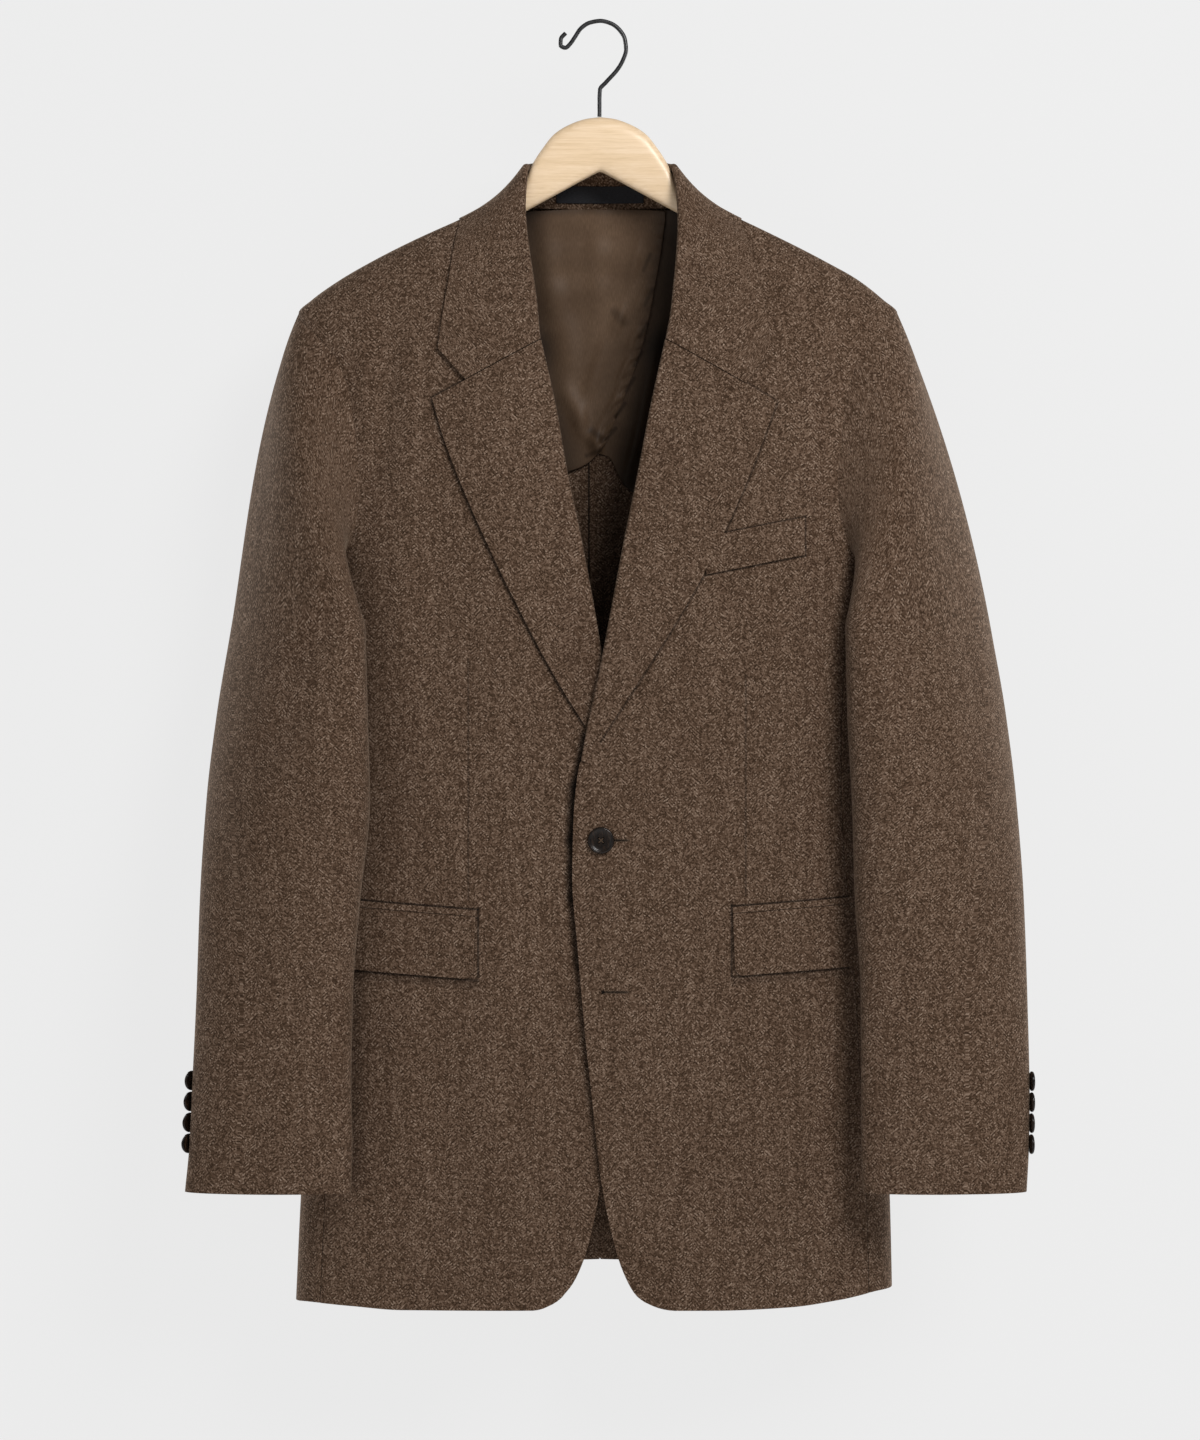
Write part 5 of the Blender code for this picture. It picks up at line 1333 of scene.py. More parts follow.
def pocket_places(side, drop_top, drop_bottom, rows, corner=0.0):
    """A strip that follows the pocket's slope, between two drops below its line."""
    out, up = POCKET[side]["out"], POCKET[side]["up"]
    start = side * around_at(out, up, 1, -1)
    shares = np.array(POCKET_SHARES)
    around = mix(abs(float(start)), POCKET_END_SHARE, shares)
    steps = np.linalg.norm(np.diff(body(around * side, up, creased=False), axis=0), axis=1)
    run = np.array([0, *np.cumsum(steps)])
    grid = []
    for v in np.linspace(0, 1, rows + 1):
        ups = up + run * POCKET_RISE - mix(drop_top, drop_bottom, v)
        if v == 1:
            ups = ups + np.where(shares == 0, corner, 0)
        grid.append(np.stack([around * side, ups], -1))
    wide = finer(np.array(grid), POCKET_FINER)
    return finer(wide.transpose(1, 0, 2), POCKET_FINER).transpose(1, 0, 2)


def build_pocket(side, name, finish):
    add_laid("flap_" + name, side, pocket_places(side, 0, FLAP_HEIGHT, 3, FLAP_CORNER), finish)
    jet = pocket_places(side, -SEAM_GAP - JET_HEIGHT, -SEAM_GAP, 1)
    add_laid("jet_" + name, side, jet, finish)


def build_welt(finish):
    outs = np.linspace(WELT["inner"], WELT["outer"], 31)
    tops = WELT["up"] - (WELT["outer"] - outs) * WELT["rise"]
    grid = []
    for v in np.linspace(0, 1, 11):
        ups = tops - WELT["height"] * v
        grid.append(np.stack([around_at(outs, ups, LEFT, -1), ups], -1))
    add_laid("breast_welt", LEFT, np.array(grid), finish, WELT_LIFT, WELT_WALL)


# Lining of the back, inside the neck


def shoulder_up(out):
    """Height of the shoulder line at a distance from the centre."""
    ups = np.linspace(TIP_UP, NECK_UP, 60)
    return np.interp(-np.asarray(out), -half_width(LEFT, ups), ups)


def back_inside(x, up, depth):
    """A point in from the outside of the back, from its place in the front view."""
    side = np.where(np.asarray(x) < 0, -1, 1)
    around = np.where(side < 0, around_at(np.abs(x), up, -1, 1), around_at(np.abs(x), up, 1, 1))
    return moved_out(body, around, up, -depth)


def build_lining(side, solid, finish):
    hem = rows_of(LINING_HEM[side], "out", "up")
    rows = np.linspace(0, 1, LINING_STEPS + 1)
    columns = rows**1.25  # a little closer together at the inner edge
    if side == RIGHT:
        bottom = along(hem[::-1], columns)
        start = along(rows_of(LINING_OVERLAP_EDGE, "out", "up") * (side, 1), rows)
    else:
        bottom = along(hem, columns)
        start = along(rows_of(LINING_INNER_EDGE, "out", "up"), rows)
    outs = mix(start[0, 0], LINING_SIDE, columns)
    under = LINING_BELOW_SHOULDER * ease(np.abs(outs), *NECK_REACH)
    high = np.minimum(LINING_TOP, shoulder_up(np.abs(outs)) - under)
    top = np.stack([outs, high], -1)
    end = along([top[-1], bottom[-1]], rows)
    start[0], start[-1] = top[0], bottom[0]
    view = coons(top, bottom, start, end)
    x, up = view[..., 0] * side, view[..., 1]
    lift = np.maximum(crease(LINING_CREASES, x, up), 0)
    if side == RIGHT:
        run = np.cumsum(np.linalg.norm(np.diff(start, axis=0, prepend=start[:1]), axis=1))[:, None]
        wave = 0.5 + 0.5 * np.sin(run * 2 * math.pi / RUFFLE_PITCH + 1.2 * np.sin(run / 17))
        beside = np.exp(-((view[..., 0] - start[:, :1]) / RUFFLE_REACH) ** 2)
        lift = lift + RUFFLE_HEIGHT * wave * beside
    outer = back_inside(x, up, LINING_DEPTH[side] + lift)
    inner = back_inside(x, up, LINING_DEPTH[side] + SATIN + lift)
    piece = add_wall(solid + "_satin", inner, outer, view, finish)
    dress(piece, solid, outer, view)


def build_back_seam(finish):
    """The turnings of the centre-back seam, pressed open inside, which also close the seam."""
    ups = np.linspace(*BACK_TURNINGS["ends"], 180)[:, None]
    outs = np.linspace(-BACK_TURNINGS["right"], BACK_TURNINGS["left"], 13)[None]
    ups, outs = np.broadcast_arrays(ups, outs)
    depth = CLOTH + SEAM_GAP + 0.15 * np.sin(ups / 23) * np.abs(outs) / BACK_TURNINGS["left"]
    outer = back_inside(outs, ups, depth)
    inner = back_inside(outs, ups, depth + BACK_TURNINGS["wall"])
    spots = np.stack([outs, ups], -1)
    piece = add_wall("back_seam_turnings", inner, outer, spots, finish)
    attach(piece, "root")


# Buttons and buttonholes


def node_points(name):
    """The corners of a fixed solid, in millimetres."""
    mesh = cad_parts[name].data
    points = np.empty(len(mesh.vertices) * 3)
    mesh.vertices.foreach_get("co", points)
    return points.reshape(-1, 3) / MM


def button_place(name, towards):
    """The middle of a button's back and the way it faces, from its solid."""
    points = node_points(name)
    low, high = points.min(0), points.max(0)
    centre = (low + high) / 2
    facing = np.linalg.svd(points - centre, full_matrices=False)[2][2]
    facing = facing * np.sign(facing @ towards)
    return centre + facing * np.min((points - centre) @ facing), facing


def turn_button(name, diameter, profile, finish):
    """A disc shaped ring by ring from the middle of its back to the middle of its face."""
    bpy.ops.object.select_all(action="DESELECT")
    first = profile[0][0] * diameter / 2 * MM
    bpy.ops.mesh.primitive_circle_add(vertices=40, radius=first, fill_type="NGON")
    made = bpy.context.object
    made.name = name
    bpy.ops.object.mode_set(mode="EDIT")
    bpy.ops.mesh.select_all(action="SELECT")
    bpy.ops.mesh.flip_normals()
    for (before, low), (share, level) in zip(profile, profile[1:]):
        rise, scale = (level - low) * MM, share / before
        bpy.ops.mesh.extrude_region_move(TRANSFORM_OT_translate={"value": (0, 0, rise)})
        bpy.ops.transform.resize(value=(scale, scale, 1), center_override=(0, 0, level * MM))
    bpy.ops.mesh.select_all(action="SELECT")
    bpy.ops.mesh.normals_make_consistent(inside=False)
    bpy.ops.object.mode_set(mode="OBJECT")
    made.data.materials.append(finish)
    return made


def drill_holes(button):
    """Four thread holes, cut through."""
    off = BUTTON_HOLE_SPACING / 2 * MM
    for place in ((-off, -off, 0), (-off, off, 0), (off, -off, 0), (off, off, 0)):
        bpy.ops.object.select_all(action="DESELECT")
        bpy.ops.mesh.primitive_cylinder_add(
            vertices=16, radius=THREAD_HOLE / 2 * MM, depth=HOLE_DEPTH * MM, location=place
        )
        cutter = bpy.context.object
        finish_with(button, "BOOLEAN", operation="DIFFERENCE", object=cutter)
        bpy.data.objects.remove(cutter)


def place_button(piece, foot, facing):
    """Turns a finished button to its place, and leaves its object at the origin."""
    beside = unit(np.cross((0, 0, 1), facing))
    matrix = np.eye(4)
    matrix[:3, :3] = np.stack([beside, np.cross(facing, beside), facing], -1)
    matrix[:3, 3] = foot * MM
    piece.data.transform(Matrix(matrix.tolist()))
    only(piece)
    bpy.ops.object.shade_smooth_by_angle(angle=math.radians(32))


def build_front_buttons(horn, thread):
    for solid in ("front_button", "lower_button"):
        foot, facing = button_place(solid, (0, -1, 0))
        button = turn_button(solid + "_horn", FRONT_BUTTON, BUTTON_PROFILE, horn)
        drill_holes(button)
        place_button(button, foot, facing)
        dress(button, solid)
        sew_on(solid, foot, facing, thread)


def sew_on(solid, foot, facing, thread):
    """Two crossed strands of thread between the holes."""
    bpy.ops.object.select_all(action="DESELECT")
    strands = []
    for lean in (45, -45):
        bpy.ops.mesh.primitive_cylinder_add(
            vertices=12, radius=STRAND * MM, depth=BUTTON_HOLE_SPACING * 1.5 * MM,
            location=(0, 0, STRAND_UP * MM), rotation=(math.pi / 2, 0, math.radians(lean)),
        )
        bpy.ops.object.transform_apply(location=True, rotation=True, scale=True)
        strands.append(bpy.context.object)
    for strand in strands:
        strand.select_set(True)
    bpy.ops.object.join()
    made = bpy.context.object
    made.name = solid + "_thread"
    made.data.materials.append(thread)
    place_button(made, foot, facing)
    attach(made, "root")


def build_cuff_buttons(side, name, horn):
    for k in range(1, 5):
        solid = f"cuff_button_{name}_{k}"
        foot, facing = button_place(solid, (side, 0, 0))
        button = turn_button(solid + "_horn", CUFF_BUTTON, CUFF_PROFILE, horn)
        place_button(button, foot, facing)
        dress(button, solid)


def build_buttonhole(name, start, end, up, thread, gap):
    """A raised ring of close stitches round a slit, with a wider eye at its end near the edge.
    The slit and the eye are near-black strands, painted shade inside the opening.
    """
    turn = np.linspace(0, 2 * math.pi, 72, endpoint=False)
    half = (end - start) / 2
    x = (start + end) / 2 + half * np.sign(np.cos(turn)) * np.abs(np.cos(turn)) ** 0.6
    wide = mix(EYE_HALF, HOLE_HALF, ease(x, start, start + EYE_OVER))
    ring = front_point(LEFT, x, up + wide * np.sin(turn), 0.2)
    slit = front_point(LEFT, np.linspace(start + 0.6, end - 0.4, 24), up, 0.12)
    eye = front_point(LEFT, np.array([start + 0.2, start + 1.8]), up, -0.4)
    add_strand(name + "_stitches", ring, STITCHES, thread, cyclic=True)
    add_strand(name + "_slit_painted_shade", slit, SLIT, gap)
    add_strand(name + "_eye", eye, EYE, gap)


def add_strand(name, path, radius, finish, cyclic=False, resolution=2):
    """A round strand along a path, made a mesh."""
    curve = bpy.data.curves.new(name, "CURVE")
    curve.dimensions = "3D"
    curve.bevel_depth = radius * MM
    curve.bevel_resolution = resolution
    curve.use_fill_caps = True
    spline = curve.splines.new("POLY")
    spline.points.add(len(path) - 1)
    for target, point in zip(spline.points, path):
        target.co = (*(point * MM), 1)
    spline.use_cyclic_u = cyclic
    curve.materials.append(finish)
    made = bpy.data.objects.new(name, curve)
    bpy.context.scene.collection.objects.link(made)
    only(made)
    bpy.ops.object.convert(target="MESH")
    made.data.shade_smooth()
    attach(made, "root")
    return made


# Hanger


def wood_ring(x):
    """A section of the wooden hanger, down its front and up its back."""
    out, down, half = abs(x), WOOD_SECTION["down"], WOOD_SECTION["half"]
    arm = shoulder_up(out) - smooth(out, ARM_UNDER_SHOULDER["out"], ARM_UNDER_SHOULDER["down"])
    top = float(smooth(out, DOME["out"], DOME["up"]) if out < DOME["out"][-1] else arm)
    bottom = WOOD_BOTTOM - WOOD_BOTTOM_SLOPE * (math.hypot(out, NOTCH_ROUND) - NOTCH_ROUND)
    bottom = max(bottom, top - DOME_DEPTH) if out < DOME_END else bottom
    squeeze = min(1, (top - bottom) / down[-1])
    slim = float(smooth(out, WOOD_SLIMNESS["out"], WOOD_SLIMNESS["by"]))
    ring = [(x, -half[i] * slim, top - down[i] * squeeze) for i in range(4)]
    ring += [(x, -half[i] * slim, bottom + (down[-1] - down[i]) * squeeze) for i in (4, 5)]
    return ring + [(x, -deep, up) for x, deep, up in ring[::-1]]


def build_wood(finish):
    """Rings of the wood along X, closer together than in its solid, then rounded off."""
    outs = finer(WOOD_STATIONS, 4)
    points = np.array([wood_ring(x) for x in np.concatenate([-outs[:0:-1], outs])])
    count = points.shape[1]
    index = np.arange(len(points) * count).reshape(-1, count)
    after = np.roll(index, -1, 1)
    faces = np.stack([index[:-1], index[1:], after[1:], after[:-1]], -1).reshape(-1, 4)
    pairs = np.arange(count // 2)
    for ring, turn in ((index[0], 1), (index[-1], -1)):
        for k in pairs[:-1]:
            quad = ring[[k, k + 1, count - 2 - k, count - 1 - k]][::turn]
            faces = np.concatenate([faces, [quad]])
    made = add_piece("hanger_beech", points.reshape(-1, 3), faces, finish)
    only(made)
    bpy.ops.object.mode_set(mode="EDIT")
    bpy.ops.mesh.select_all(action="SELECT")
    bpy.ops.mesh.normals_make_consistent(inside=False)
    bpy.ops.object.mode_set(mode="OBJECT")
    finish_with(made, "SUBSURF", levels=2, render_levels=2)
    dress(made, "hanger_wood")


def build_hook(finish):
    turn = np.radians(np.linspace(HOOK_FROM, HOOK_TO, 9))
    arc = np.stack([np.cos(turn), np.sin(turn)], -1) * HOOK_RADIUS + HOOK_CENTRE
    line = along(np.concatenate([HOOK_STEM, arc, HOOK_CURL]), np.linspace(0, 1, 140))
    path = np.stack([line[:, 0], np.zeros(len(line)), line[:, 1]], -1)
    made = add_strand("hanger_wire", path, WIRE / 2, finish, resolution=6)
    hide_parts("hanger_hook")


# Finishes


def linear(code, alpha=1.0):
    """A hex colour of the screen as the linear colour of a shader."""
    values = [int(code[k : k + 2], 16) / 255 for k in (1, 3, 5)]
    return (*(v / 12.92 if v <= 0.04045 else ((v + 0.055) / 1.055) ** 2.4 for v in values), alpha)


def node(tree, kind, links=(), stops=(), **settings):
    """Adds a shader node, sets it, links or sets its inputs, and gives a colour ramp its stops, as
    (place, hex) pairs."""
    made = tree.nodes.new("ShaderNode" + kind)
    for key, value in settings.items():
        setattr(made, key, value)
    for name, value in dict(links).items():
        value = value.outputs[0] if isinstance(value, bpy.types.Node) else value
        if isinstance(value, bpy.types.NodeSocket):
            tree.links.new(value, made.inputs[name])
        else:
            made.inputs[name].default_value = value
    if stops:
        marks = made.color_ramp.elements
        while len(marks) < len(stops):
            marks.new(0.5)
        for mark, (place, code) in zip(marks, stops):
            mark.position, mark.color = place, linear(code)
    return made


def new_finish(name, **sockets):
    """A finish and its nodes. Its even values are set on its shader's own sockets."""
    made = bpy.data.materials.new(name)
    made.use_nodes = True
    shader = made.node_tree.nodes["Principled BSDF"]
    for key, value in sockets.items():
        shader.inputs[key.replace("_", " ")].default_value = value
    return made, made.node_tree


def cover(made, colour, height=None, strength=0.0, distance=0.0):
    """Gives a finish its colour and, where it has a relief, its bump, in metres."""
    tree = made.node_tree
    shader = tree.nodes["Principled BSDF"]
    colour = colour.outputs[0] if isinstance(colour, bpy.types.Node) else colour
    tree.links.new(colour, shader.inputs["Base Color"])
    if height is not None:
        bump = node(tree, "Bump", {"Height": height, "Strength": strength, "Distance": distance})
        tree.links.new(bump.outputs[0], shader.inputs["Normal"])
    return made


def cloth_mm(tree):
    """Places on a piece of cloth as it is laid flat, in millimetres."""
    uv = node(tree, "UVMap", uv_map="cloth")
    return node(tree, "VectorMath", {0: uv, 1: (1000, 1000, 0)}, operation="MULTIPLY")


def painted_shade_beside_lapel(side):
    """The painted shade under the free edge of a lapel, as lines of painted shade."""
    edge = along(rows_of(LAPEL_EDGE[side], "out", "up"), np.linspace(0, 0.94, 7)) + (0.9, -0.6)
    edge = (edge * (side, 1)).tolist()
    return tuple((*start, *end, *LAPEL_SHADE) for start, end in zip(edge, edge[1:]))


def flannel(name, lines=()):
    """Wool flannel, woven in a fine broken herringbone from brown yarns of several shades and
    brushed: a dull, soft surface whose raised hairs catch light at grazing angles."""
    made, tree = new_finish(
        name, Roughness=0.95, Sheen_Weight=0.3, Sheen_Roughness=0.45, Specular_IOR_Level=0.15,
        Sheen_Tint=linear("#b8a48f"),
    )
    mm = cloth_mm(tree)
    # Columns of ribs, which drift a few millimetres to either side
    drift = node(tree, "TexNoise", {"Vector": mm, "Scale": 0.06, "Detail": 2.0})
    drift = node(tree, "Math", {0: drift, 1: 7.0}, operation="MULTIPLY")
    place = node(tree, "SeparateXYZ", {0: mm})
    across = node(tree, "Math", {0: place.outputs[0], 1: drift}, operation="ADD")
    zig = node(tree, "Math", {0: across, 1: TWILL_COLUMN}, operation="PINGPONG")
    column = node(tree, "Math", {0: across, 1: TWILL_COLUMN}, operation="DIVIDE")
    column = node(tree, "Math", {0: column}, operation="FLOOR")
    up = {0: column, 1: TWILL_STEP, 2: place.outputs[1]}
    up = node(tree, "Math", up, operation="MULTIPLY_ADD")
    rib = node(tree, "Math", {0: up, 1: zig}, operation="ADD")
    other = node(tree, "Math", {0: up, 1: zig}, operation="SUBTRACT")
    wave = node(tree, "Math", {0: rib, 1: 2 * math.pi / TWILL_PITCH}, operation="MULTIPLY")
    wave = node(tree, "Math", {0: wave}, operation="SINE")
    # Short stretches of yarn of one shade, raised hairs about 1 mm apart, and slow streaks, 7 mm
    # wide and 90 mm long, along the warp
    stitch = node(tree, "CombineXYZ", {0: rib, 1: other, 2: column})
    stitch = node(tree, "VectorMath", {0: stitch, 1: YARN_CELLS}, operation="MULTIPLY")
    stitch = node(tree, "VectorMath", {0: stitch}, operation="FLOOR")
    yarn = node(tree, "TexWhiteNoise", {"Vector": stitch}, noise_dimensions="3D")
    hair = node(tree, "TexNoise", {"Vector": mm, "Scale": 0.9, "Detail": 0.0})
    streak = node(tree, "VectorMath", {0: mm, 1: (0.15, 0.011, 0)}, operation="MULTIPLY")
    cloud = node(tree, "TexNoise", {"Vector": streak, "Scale": 1.0, "Detail": 3.0})
    tone = 0.022  # of the darkest yarn
    for pattern, share in ((wave, 0.07), (yarn, 0.53), (hair, 0.2), (cloud, 0.2)):
        tone = node(tree, "Math", {0: pattern, 1: share, 2: tone}, operation="MULTIPLY_ADD")
    shades = zip((0, 0.3, 0.5, 0.7, 1), ("#201107", "#3b2b1e", "#523f31", "#6e5a4b", "#a89483"))
    # The given lines paint shade into the colour
    colour = painted_shade_lines(tree, node(tree, "ValToRGB", {0: tone}, tuple(shades)), lines)
    height = node(tree, "Math", {0: wave, 1: 0.25, 2: hair}, operation="MULTIPLY_ADD")
    return cover(made, colour, height, 0.35, 0.0004)


def painted_shade_lines(tree, colour, lines):
    """Paints shade into a colour: darkens it towards near black along the narrow creases where
    cloth is sewn or laid down, where shade falls. Each line runs from one point of the front view
    to another, in millimetres, with its strength and half its width."""
    if not lines:
        return colour
    spot = node(tree, "TexCoord").outputs["Object"]
    spot = node(tree, "VectorMath", {0: spot, 1: (1000, 0, 1000)}, operation="MULTIPLY")
    for x, up, end_x, end_up, strength, half_width in lines:
        run = (end_x - x, 0, end_up - up)
        square = run[0] ** 2 + run[2] ** 2
        off = node(tree, "VectorMath", {0: spot, 1: (x, 0, up)}, operation="SUBTRACT")
        share = node(tree, "VectorMath", {0: off, 1: run}, operation="DOT_PRODUCT").outputs["Value"]
        share = node(tree, "Math", {0: share, 1: square}, operation="DIVIDE", use_clamp=True)
        reach = node(tree, "VectorMath", {0: run, "Scale": share}, operation="SCALE")
        gap = node(tree, "VectorMath", {0: off, 1: reach}, operation="DISTANCE").outputs["Value"]
        fade = {0: gap, 1: 0.2, 2: half_width, 3: strength, 4: 0.0}
        line = node(tree, "MapRange", fade, interpolation_type="SMOOTHSTEP")
        # Mixes in the near-black colour of the painted shade
        made = node(tree, "Mix", {0: line, 6: colour, 7: linear("#0f0a07")}, data_type="RGBA")
        colour = made.outputs[2]
    return colour


def satin(name, lines=()):
    """Acetate satin: smooth, close warp threads with a low, broad gloss."""
    made, tree = new_finish(name, Roughness=0.46, Specular_IOR_Level=0.1)
    mm = cloth_mm(tree)
    # Threads 0.6 mm wide, several times their real width, so that they show
    stretched = node(tree, "VectorMath", {0: mm, 1: (1.6, 0.22, 0)}, operation="MULTIPLY")
    thread = node(tree, "TexNoise", {"Vector": stretched, "Scale": 1.0, "Detail": 2.0})
    cloud = node(tree, "TexNoise", {"Vector": mm, "Scale": 0.03, "Detail": 2.0})
    tone = node(tree, "Math", {0: thread, 1: 0.5, 2: 0.0}, operation="MULTIPLY_ADD")
    tone = node(tree, "Math", {0: cloud, 1: 0.5, 2: tone}, operation="MULTIPLY_ADD")
    shades = ((0.25, "#4b392a"), (0.5, "#594636"), (0.75, "#6b5644"))
    # The given lines paint shade into the colour
    colour = painted_shade_lines(tree, node(tree, "ValToRGB", {0: tone}, shades), lines)
    return cover(made, colour, thread, 0.15, 0.0002)


def beech(name):
    """Steamed beech under a clear satin lacquer: pale, with fine grain and short dark flecks."""
    made, tree = new_finish(name, Roughness=0.4, Coat_Weight=0.25, Coat_Roughness=0.25)
    spot = node(tree, "TexCoord").outputs["Object"]
    mm = node(tree, "VectorMath", {0: spot, 1: (1000, 1000, 1000)}, operation="MULTIPLY")
    # Grain lines about 2 mm wide and 50 mm long, and flecks 0.6 mm wide and 7 mm long
    lengthwise = node(tree, "VectorMath", {0: mm, 1: (0.02, 0.4, 0.55)}, operation="MULTIPLY")
    short = node(tree, "VectorMath", {0: mm, 1: (0.14, 1.5, 1.9)}, operation="MULTIPLY")
    streaks = {"Vector": lengthwise, "Scale": 1.0, "Detail": 4.0, "Distortion": 0.4}
    grain = node(tree, "TexNoise", streaks)
    fleck = node(tree, "TexNoise", {"Vector": short, "Scale": 1.0, "Detail": 2.0})
    tone = node(tree, "Math", {0: grain, 1: 0.7, 2: 0.0}, operation="MULTIPLY_ADD")
    tone = node(tree, "Math", {0: fleck, 1: 0.3, 2: tone}, operation="MULTIPLY_ADD")
    shades = ((0.3, "#d9bb93"), (0.5, "#e7cba7"), (0.7, "#efd6b8"))
    return cover(made, node(tree, "ValToRGB", {0: tone}, shades), grain, 0.1, 0.0002)


def black_wire(name):
    """Steel wire with a satin black stove enamel, a little rubbed."""
    made, tree = new_finish(name)
    spot = node(tree, "TexCoord").outputs["Object"]
    # Rubbed patches about 3 mm across
    wear = node(tree, "TexNoise", {"Vector": spot, "Scale": 300.0, "Detail": 3.0})
    rough = node(tree, "MapRange", {0: wear, 1: 0.3, 2: 0.7, 3: 0.32, 4: 0.5})
    tree.links.new(rough.outputs[0], tree.nodes["Principled BSDF"].inputs["Roughness"])
    return cover(made, node(tree, "ValToRGB", {0: wear}, ((0.35, "#101011"), (0.75, "#242427"))))


def horn(name):
    """Polished buffalo horn: near black brown with paler streaks and a soft gloss."""
    made, tree = new_finish(name, Roughness=0.26, IOR=1.54, Specular_IOR_Level=0.25)
    spot = node(tree, "TexCoord").outputs["Object"]
    # Streaks about 2 mm wide and 9 mm long, upright
    spot = node(tree, "VectorMath", {0: spot, 1: (900, 900, 230)}, operation="MULTIPLY")
    streaks = {"Vector": spot, "Scale": 0.5, "Detail": 3.0, "Distortion": 0.8}
    tone = node(tree, "TexNoise", streaks)
    shades = ((0.35, "#0c0806"), (0.55, "#1a120d"), (0.8, "#3c2c20"))
    return cover(made, node(tree, "ValToRGB", {0: tone}, shades))


def woven_label(name):
    """A damask label, left plain: fine dark ribs with a slight silky gloss."""
    made, tree = new_finish(name, Roughness=0.75, Specular_IOR_Level=0.2)
    # Ribs 0.3 mm high and 2 mm long
    ribs = node(tree, "VectorMath", {0: cloth_mm(tree), 1: (0.5, 3.0, 0)}, operation="MULTIPLY")
    thread = node(tree, "TexNoise", {"Vector": ribs, "Scale": 1.0, "Detail": 2.0})
    colour = node(tree, "ValToRGB", {0: thread}, ((0.3, "#161619"), (0.7, "#28282c")))
    return cover(made, colour, thread, 0.3, 0.0002)


def silk_thread(name, dark, light):
    """Buttonhole silk, close to the cloth in colour, with a twist whose catching of the light is
    painted in as paler and darker colour.
    """
    made, tree = new_finish(name, Roughness=0.7, Specular_IOR_Level=0.05)
    spot = node(tree, "TexCoord").outputs["Object"]
    # The painted highlights of the twist repeat every 0.6 mm
    twist_highlight = node(tree, "TexNoise", {"Vector": spot, "Scale": 1600.0, "Detail": 1.0})
    return cover(made, node(tree, "ValToRGB", {0: twist_highlight}, ((0.35, dark), (0.7, light))))


# Studio


def paper(name, glow, one_way=False):
    """Matt background paper. Part of its light is its own, so that shadows are faint. One-way paper
    is seen by the camera alone, from the front, and shades nothing."""
    made = bpy.data.materials.new(name)
    made.use_nodes = True
    tree = made.node_tree
    tree.nodes.clear()
    pale = linear(PALE)
    matt = node(tree, "BsdfDiffuse", {"Color": [v * (1 - glow) for v in pale[:3]] + [1]})
    own = node(tree, "Emission", {"Color": pale, "Strength": glow})
    both = node(tree, "AddShader", {0: matt, 1: own})
    if one_way:
        seen = node(tree, "LightPath").outputs["Is Camera Ray"]
        behind = node(tree, "NewGeometry").outputs["Backfacing"]
        front = node(tree, "Math", {0: 1.0, 1: behind}, operation="SUBTRACT")
        shown = node(tree, "Math", {0: seen, 1: front}, operation="MULTIPLY")
        clear = node(tree, "BsdfTransparent")
        both = node(tree, "MixShader", {0: shown, 1: clear, 2: both})
    node(tree, "OutputMaterial", {0: both})
    return made


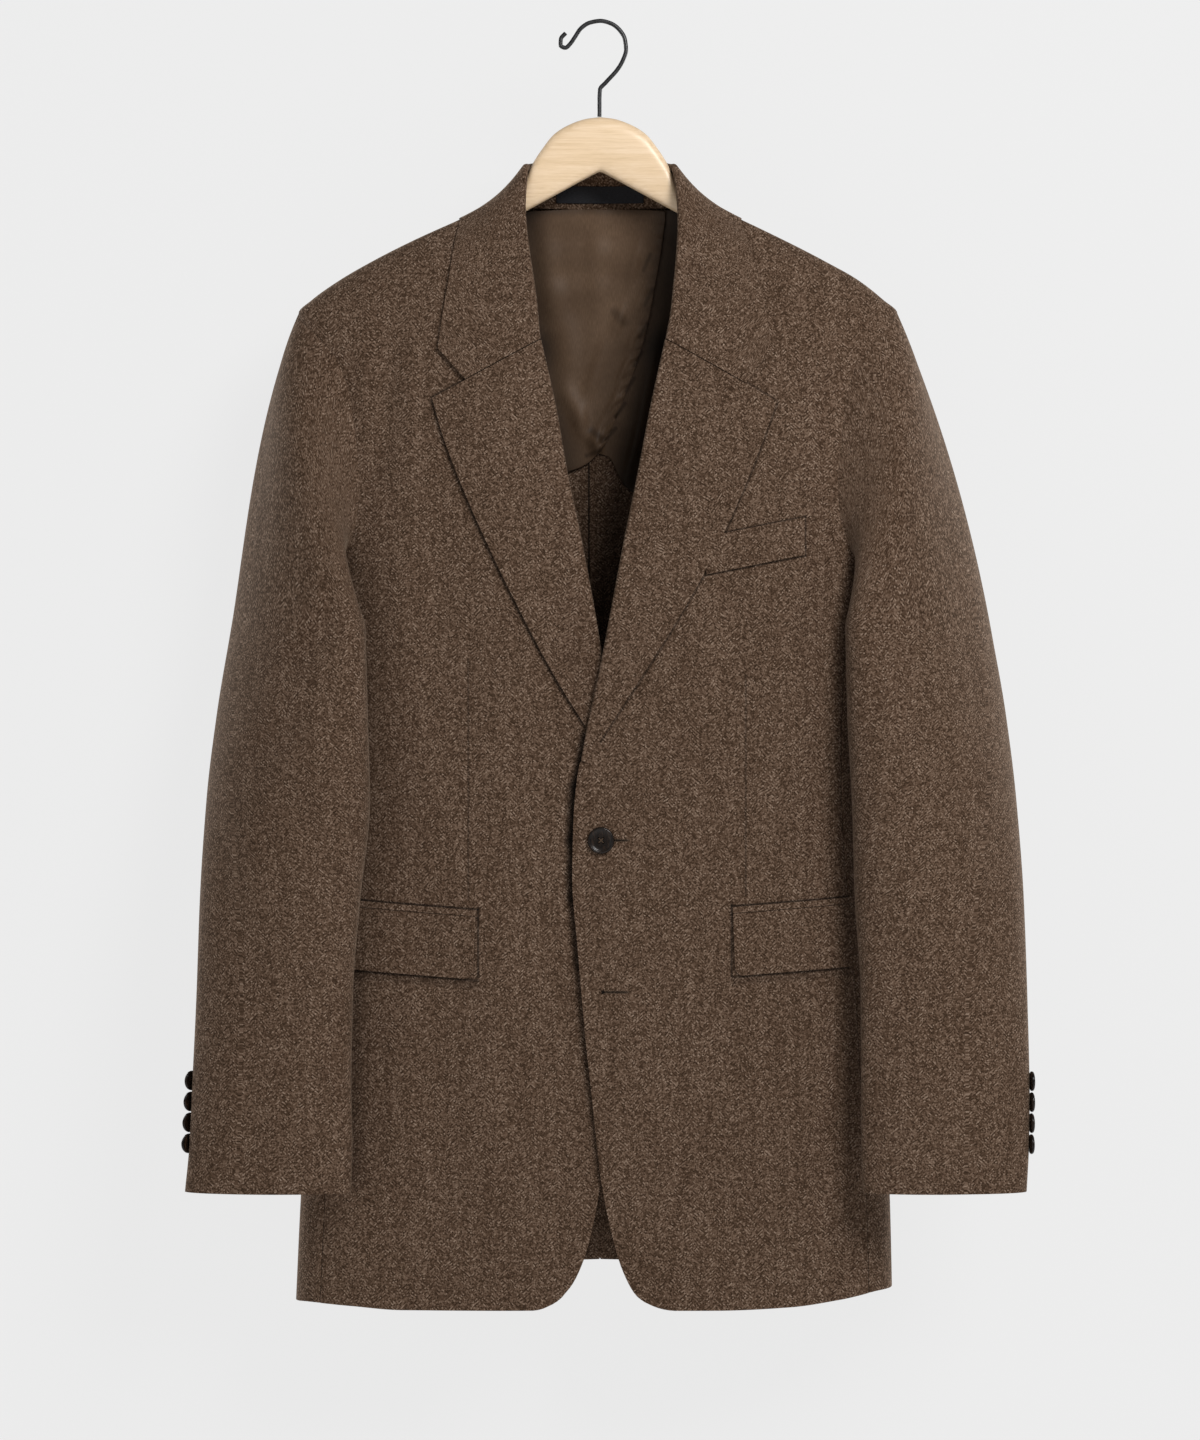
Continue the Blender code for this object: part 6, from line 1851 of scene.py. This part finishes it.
def build_studio():
    for name, place, tilt, finish in (
        ("floor", (0, 0, -1.45), 0, paper("pale floor", FLOOR_GLOW)),
        ("backdrop", (0, 0.1, 0), math.pi / 2, paper("pale backdrop", WALL_GLOW, one_way=True)),
    ):
        bpy.ops.object.select_all(action="DESELECT")
        bpy.ops.mesh.primitive_plane_add(size=14, location=place, rotation=(tilt, 0, 0))
        sheet = bpy.context.object
        sheet.name = name
        sheet.data.materials.append(finish)
    world = bpy.data.worlds.new("studio")
    bpy.context.scene.world = world
    world.use_nodes = True
    tree = world.node_tree
    tree.nodes.clear()
    seen = node(tree, "LightPath").outputs["Is Camera Ray"]
    light = node(tree, "Background", {"Color": (1, 1, 1, 1), "Strength": ROOM_LIGHT})
    shown = node(tree, "Background", {"Color": linear(PALE), "Strength": 1.0})
    both = node(tree, "MixShader", {0: seen, 1: light, 2: shown})
    node(tree, "OutputWorld", {0: both})
    for name, place, size, power in LAMPS:
        lamp = bpy.data.lights.new(name, "AREA")
        lamp.shape, lamp.size, lamp.energy = "DISK", size, power
        made = bpy.data.objects.new(name, lamp)
        bpy.context.scene.collection.objects.link(made)
        made.location = place
        towards = Vector(np.array(MIDDLE) - place)
        made.rotation_euler = towards.to_track_quat("-Z", "Y").to_euler()


def build_camera():
    camera = bpy.data.cameras.new("camera")
    camera.lens, camera.sensor_width, camera.sensor_fit = LENS, SENSOR, "AUTO"
    made = bpy.data.objects.new("camera", camera)
    bpy.context.scene.collection.objects.link(made)
    made.location = (0, -CAMERA_OFF, MIDDLE[2])
    made.rotation_euler = (math.pi / 2, 0, 0)
    bpy.context.scene.camera = made


def main():
    scene = bpy.context.scene
    scene.view_settings.view_transform = "Standard"
    build_camera()
    build_studio()
    cloth = flannel("brown flannel")
    # The fronts, the backs, the seam turnings and the lining get painted shade in their colour,
    # along the lines of their tables
    pressed = {
        side: flannel(f"brown flannel, {name} front", FRONT_PAINTED_SHADE[side] + painted_shade_beside_lapel(side))
        for side, name in SIDE_NAME.items()
    }
    backs = flannel("brown flannel, backs, with painted shade", BACK_SHADE)
    lining, dark_horn = satin("brown satin lining", LINING_SHADE), horn("dark horn")
    thread = silk_thread("buttonhole silk", "#3a2e25", "#5f4f41")
    # Near-black strands for the slit and the eye of each buttonhole: painted shade inside the
    # opening
    gap = silk_thread("near-black silk, painted shade inside a buttonhole", "#0e0a08", "#1c1511")
    for side, name in SIDE_NAME.items():
        build_front(side, "front_" + name, pressed[side])
        build_side(side, "side_" + name, cloth)
        build_back(side, "back_" + name, backs)
        build_sleeve(side, name, cloth)
        build_lapel(side, "lapel_" + name, cloth)
        build_pocket(side, name, cloth)
        build_lining(side, "back_lining_" + name, lining)
        build_cuff_buttons(side, name, dark_horn)
    build_back_seam(flannel("brown flannel, seam turnings, with painted shade", SEAM_SHADE))
    collar = build_collar(cloth)
    build_label(collar, woven_label("plain woven label"))
    build_welt(cloth)
    build_front_buttons(dark_horn, thread)
    for name, line in BUTTONHOLES.items():
        build_buttonhole("buttonhole_" + name, *line, thread, gap)
    build_wood(beech("lacquered beech"))
    build_hook(black_wire("black enamelled wire"))


main()
